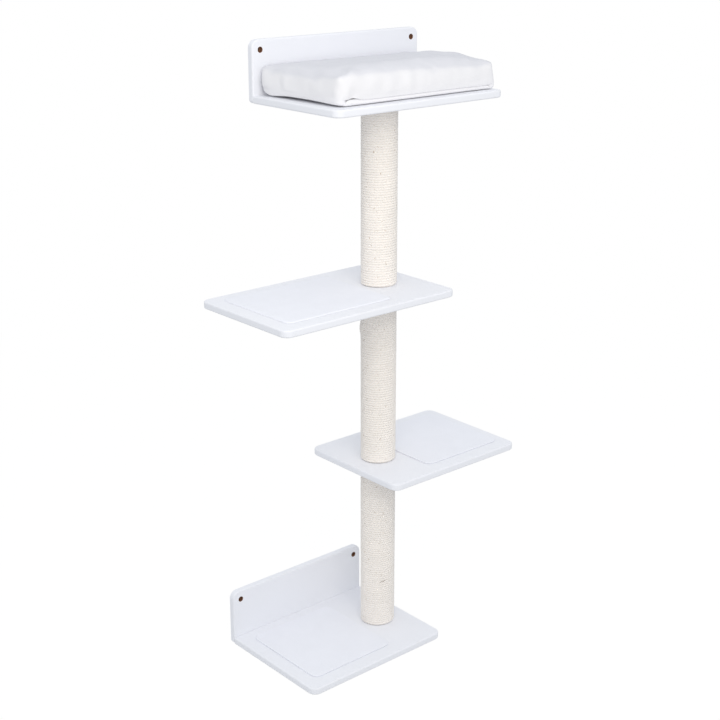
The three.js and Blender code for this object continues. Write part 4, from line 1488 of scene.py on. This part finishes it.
def make_slider():
    """A die-cast slider that wraps the teeth, with a bail and a short pull folded along it."""
    low, high = node_box("cushion_zip_slider")
    tape_front = node_box("cushion_zip_tape")[0].y
    middle = (low + high) / 2
    face = tape_front - SLIDER_THICKNESS
    body = add_block("slider_body", Vector((low.x, face, low.z)), high)
    bevel_edges(body, front_to_back, SLIDER_END, 6)
    bevel_edges(body, lambda a, b: near(a.y, face) and near(b.y, face), SLIDER_EDGE, 3)
    in_front, above = CHANNEL_SPARE
    channel = TOOTH_LENGTH / 2 + TOOTH_REACH + above
    start = Vector((low.x - BEYOND, tape_front - in_front, middle.z - channel))
    end = Vector((high.x + BEYOND, high.y + BEYOND, middle.z + channel))
    cut_away(body, add_block("channel", start, end))
    deselect_all()
    bpy.ops.mesh.primitive_torus_add(
        location=(middle.x, face, middle.z),
        major_segments=28,
        minor_segments=10,
        major_radius=BAIL_RADIUS,
        minor_radius=BAIL_WIRE,
    )
    bail = bpy.context.object
    bpy.ops.object.transform_apply(location=True, rotation=True, scale=True)
    pull_back = low.y + PULL_BACK
    start = Vector((low.x + PULL_MARGIN, low.y + PULL_FRONT, middle.z - PULL_HALF_WIDTH))
    end = Vector((high.x - PULL_MARGIN, pull_back, middle.z + PULL_HALF_WIDTH))
    pull = add_block("slider_pull", start, end)
    bevel_edges(pull, front_to_back, PULL_END, 6)
    bevel_edges(pull, lambda a, b: near(a.y, b.y), PULL_EDGE, 2)
    hole = spun("pull_hole", straight_hole(PULL_HOLE, -3 * MM, 3 * MM), 24)
    cut_away(pull, put(hole, Vector((middle.x, pull_back, middle.z)), FACING_FRONT))
    parts = [finish(part, "slider_metal") for part in (body, bail, pull)]
    whole = joined("cushion_zip_pull", parts)
    smooth_by_angle(whole, 40)
    settle(whole, SLIDER_BODY, "zip_metal", "cushion_zip_slider")


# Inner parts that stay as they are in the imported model


INNER_FINISH = {
    "tube": "tube_card",
    "plug": "pine_wood",
    "nut": "plated_steel",
    "stud": "plated_steel",
}


def finish_inner_parts():
    for name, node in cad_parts.items():
        kind = name.split("_")[-1]
        if kind in INNER_FINISH:
            node.data.materials.clear()
            finish(node, INNER_FINISH[kind])


# Stage


CAMERA_PLACE = (-2.12998, -2.44104, 1.86836)
CAMERA_YAW = math.radians(40.9159)
CAMERA_DIP = math.radians(17.77)
CAMERA_SHIFT = -0.03766
SENSOR_WIDTH = 36.0
KEY_PLACE = (-1.0, -1.66, 2.25)
KEY_AIM = (0.0, 0.0, 1.1)
KEY_SIZE = 1.8
CAMERA_REACH = 200
FLOOR_SIZE, FLOOR_HEIGHT, FLOOR_COLOUR = 120, -0.2 * MM, (0.7, 0.7, 0.7)
SHADOW_REACH = (0.6, 3.0)  # Metres from the middle where the shadow starts and stops to fade
WHITE_SHARES, WHITE_STRENGTHS = (0.94, 1.0), (1.03, 1.0)  # The white over it, at those places


def make_camera(settings):
    data = bpy.data.cameras.new("camera")
    data.sensor_fit = "HORIZONTAL"
    data.sensor_width = SENSOR_WIDTH
    data.lens = settings.lens / MM
    data.shift_y = CAMERA_SHIFT
    data.clip_end = CAMERA_REACH
    camera = bpy.data.objects.new("camera", data)
    camera.location = CAMERA_PLACE
    camera.rotation_euler = (QUARTER_TURN - CAMERA_DIP, 0, -CAMERA_YAW)
    bpy.context.collection.objects.link(camera)
    bpy.context.scene.camera = camera


def make_light(settings):
    data = bpy.data.lights.new("key", "AREA")
    data.shape = "SQUARE"
    data.size = KEY_SIZE
    data.energy = settings.key_power
    data.color = settings.key_colour
    key = bpy.data.objects.new("key", data)
    key.location = KEY_PLACE
    towards = Vector(KEY_AIM) - Vector(KEY_PLACE)
    key.rotation_euler = towards.to_track_quat("-Z", "Y").to_euler()
    bpy.context.collection.objects.link(key)


def seen_directly(graph):
    """1 for camera, glossy and transmission rays, 0 for the light that falls on things."""
    path = graph.node("ShaderNodeLightPath").outputs
    seen = graph.math("MAXIMUM", path["Is Camera Ray"], path["Is Glossy Ray"])
    return graph.math("MAXIMUM", seen, path["Is Transmission Ray"])


def make_world(settings):
    world = bpy.data.worlds.new("surround")
    bpy.context.scene.world = world
    world.use_nodes = True
    graph = Graph(world.node_tree)
    background = world.node_tree.nodes["Background"]
    seen = seen_directly(graph)
    strength = graph.level(seen, 0.0, 1.0, settings.surround, 1.0)
    shown = graph.blend(seen, rgba(settings.surround_colour), WHITE)
    graph.feed(background, {"Strength": strength, "Color": shown})


def make_floor():
    """A white floor that keeps the scratcher's shadow."""
    deselect_all()
    bpy.ops.mesh.primitive_plane_add(size=FLOOR_SIZE, location=(0, 0, FLOOR_HEIGHT))
    floor = bpy.context.object
    floor.name = "floor"
    bpy.ops.object.transform_apply(location=True, rotation=True, scale=True)
    graph, shader = new_material("floor")
    matt = {"Base Color": rgba(FLOOR_COLOUR), "Roughness": 0.9, "Specular IOR Level": 0.0}
    graph.feed(shader, matt)
    away = graph.node("ShaderNodeVectorMath", {0: graph.place()}, operation="LENGTH")
    away = away.outputs["Value"]
    strength = graph.level(away, *SHADOW_REACH, *WHITE_STRENGTHS)
    glow = graph.node("ShaderNodeEmission", {"Color": WHITE, "Strength": strength})
    share = graph.level(away, *SHADOW_REACH, *WHITE_SHARES)
    share = graph.math("MULTIPLY", seen_directly(graph), share)
    inputs = {0: share, 1: shader.outputs[0], 2: glow.outputs[0]}
    mixed = graph.node("ShaderNodeMixShader", inputs)
    graph.feed(graph.tree.nodes["Material Output"], {"Surface": mixed.outputs[0]})
    finish(floor, "floor")


# Operators, panel and registration


class SCRATCHER_OT_stage(bpy.types.Operator):
    """Adds the camera, the light and the floor"""

    bl_idname = "scratcher.stage"
    bl_label = "Stage"

    def execute(self, context):
        settings = context.scene.scratcher_stage
        context.scene.view_settings.view_transform = "Standard"
        make_camera(settings)
        make_light(settings)
        make_world(settings)
        make_floor()
        return {"FINISHED"}


class SCRATCHER_OT_boards(bpy.types.Operator):
    """Adds the base plate, the two platforms and the top shelf"""

    bl_idname = "scratcher.boards"
    bl_label = "Boards"

    def execute(self, context):
        for node in BOARDS:
            make_board(node)
        return {"FINISHED"}


class SCRATCHER_OT_wall_panels(bpy.types.Operator):
    """Adds the two upright panels with their screw holes"""

    bl_idname = "scratcher.wall_panels"
    bl_label = "Wall panels"

    def execute(self, context):
        for node in PANELS:
            make_panel(node)
        return {"FINISHED"}


class SCRATCHER_OT_rope(bpy.types.Operator):
    """Winds the rope on the three posts and adds its loose fibres"""

    bl_idname = "scratcher.rope"
    bl_label = "Rope"

    def execute(self, context):
        for index, post in enumerate(POSTS):
            make_rope(post, ROPE_SEED + index)
            make_fibres(post, FIBRE_SEED + index)
        make_loose_strand()
        return {"FINISHED"}


class SCRATCHER_OT_pads(bpy.types.Operator):
    """Lays the felt pads on the base plate and the platforms"""

    bl_idname = "scratcher.pads"
    bl_label = "Pads"

    def execute(self, context):
        for index, node in enumerate(PADS):
            make_pad(node, PAD_SEED + index)
        return {"FINISHED"}


class SCRATCHER_OT_cushion(bpy.types.Operator):
    """Adds the stuffed cushion on the top shelf"""

    bl_idname = "scratcher.cushion"
    bl_label = "Cushion"

    def execute(self, context):
        make_cushion()
        return {"FINISHED"}


class SCRATCHER_OT_zip(bpy.types.Operator):
    """Adds the cushion's zip with its slider"""

    bl_idname = "scratcher.zip"
    bl_label = "Zip"

    def execute(self, context):
        make_zip()
        make_slider()
        return {"FINISHED"}


class SCRATCHER_OT_fasteners(bpy.types.Operator):
    """Adds the panel screws, the bolts and their washers"""

    bl_idname = "scratcher.fasteners"
    bl_label = "Screws and bolts"

    def execute(self, context):
        make_screws()
        make_bolts()
        return {"FINISHED"}


class SCRATCHER_OT_inner_parts(bpy.types.Operator):
    """Gives the tubes, plugs, nuts and studs inside the posts their finishes"""

    bl_idname = "scratcher.inner_parts"
    bl_label = "Inner parts"

    def execute(self, context):
        finish_inner_parts()
        return {"FINISHED"}


OPERATORS = (
    SCRATCHER_OT_stage,
    SCRATCHER_OT_boards,
    SCRATCHER_OT_wall_panels,
    SCRATCHER_OT_rope,
    SCRATCHER_OT_pads,
    SCRATCHER_OT_cushion,
    SCRATCHER_OT_zip,
    SCRATCHER_OT_fasteners,
    SCRATCHER_OT_inner_parts,
)


class SCRATCHER_PT_pieces(bpy.types.Panel):
    """Lists the pieces of the scratcher with the sizes and colours that can be changed"""

    bl_label = "Scratcher"
    bl_idname = "SCRATCHER_PT_pieces"
    bl_space_type = "VIEW_3D"
    bl_region_type = "UI"
    bl_category = "Scratcher"

    def draw(self, context):
        for operator in OPERATORS:
            self.layout.operator(operator.bl_idname)
        for key, group in SETTINGS.items():
            box = self.layout.box()
            for name in group.__annotations__:
                box.prop(getattr(context.scene, key), name)


CLASSES = (*SETTINGS.values(), *OPERATORS, SCRATCHER_PT_pieces)


def register():
    for item in CLASSES:
        bpy.utils.register_class(item)
    for key, group in SETTINGS.items():
        setattr(bpy.types.Scene, key, bpy.props.PointerProperty(type=group))


def unregister():
    for key in SETTINGS:
        delattr(bpy.types.Scene, key)
    for item in reversed(CLASSES):
        bpy.utils.unregister_class(item)


def main():
    register()
    bpy.ops.scratcher.stage()
    bpy.ops.scratcher.boards()
    bpy.ops.scratcher.wall_panels()
    bpy.ops.scratcher.rope()
    bpy.ops.scratcher.pads()
    bpy.ops.scratcher.cushion()
    bpy.ops.scratcher.zip()
    bpy.ops.scratcher.fasteners()
    bpy.ops.scratcher.inner_parts()


if __name__ == "__main__":
    main()
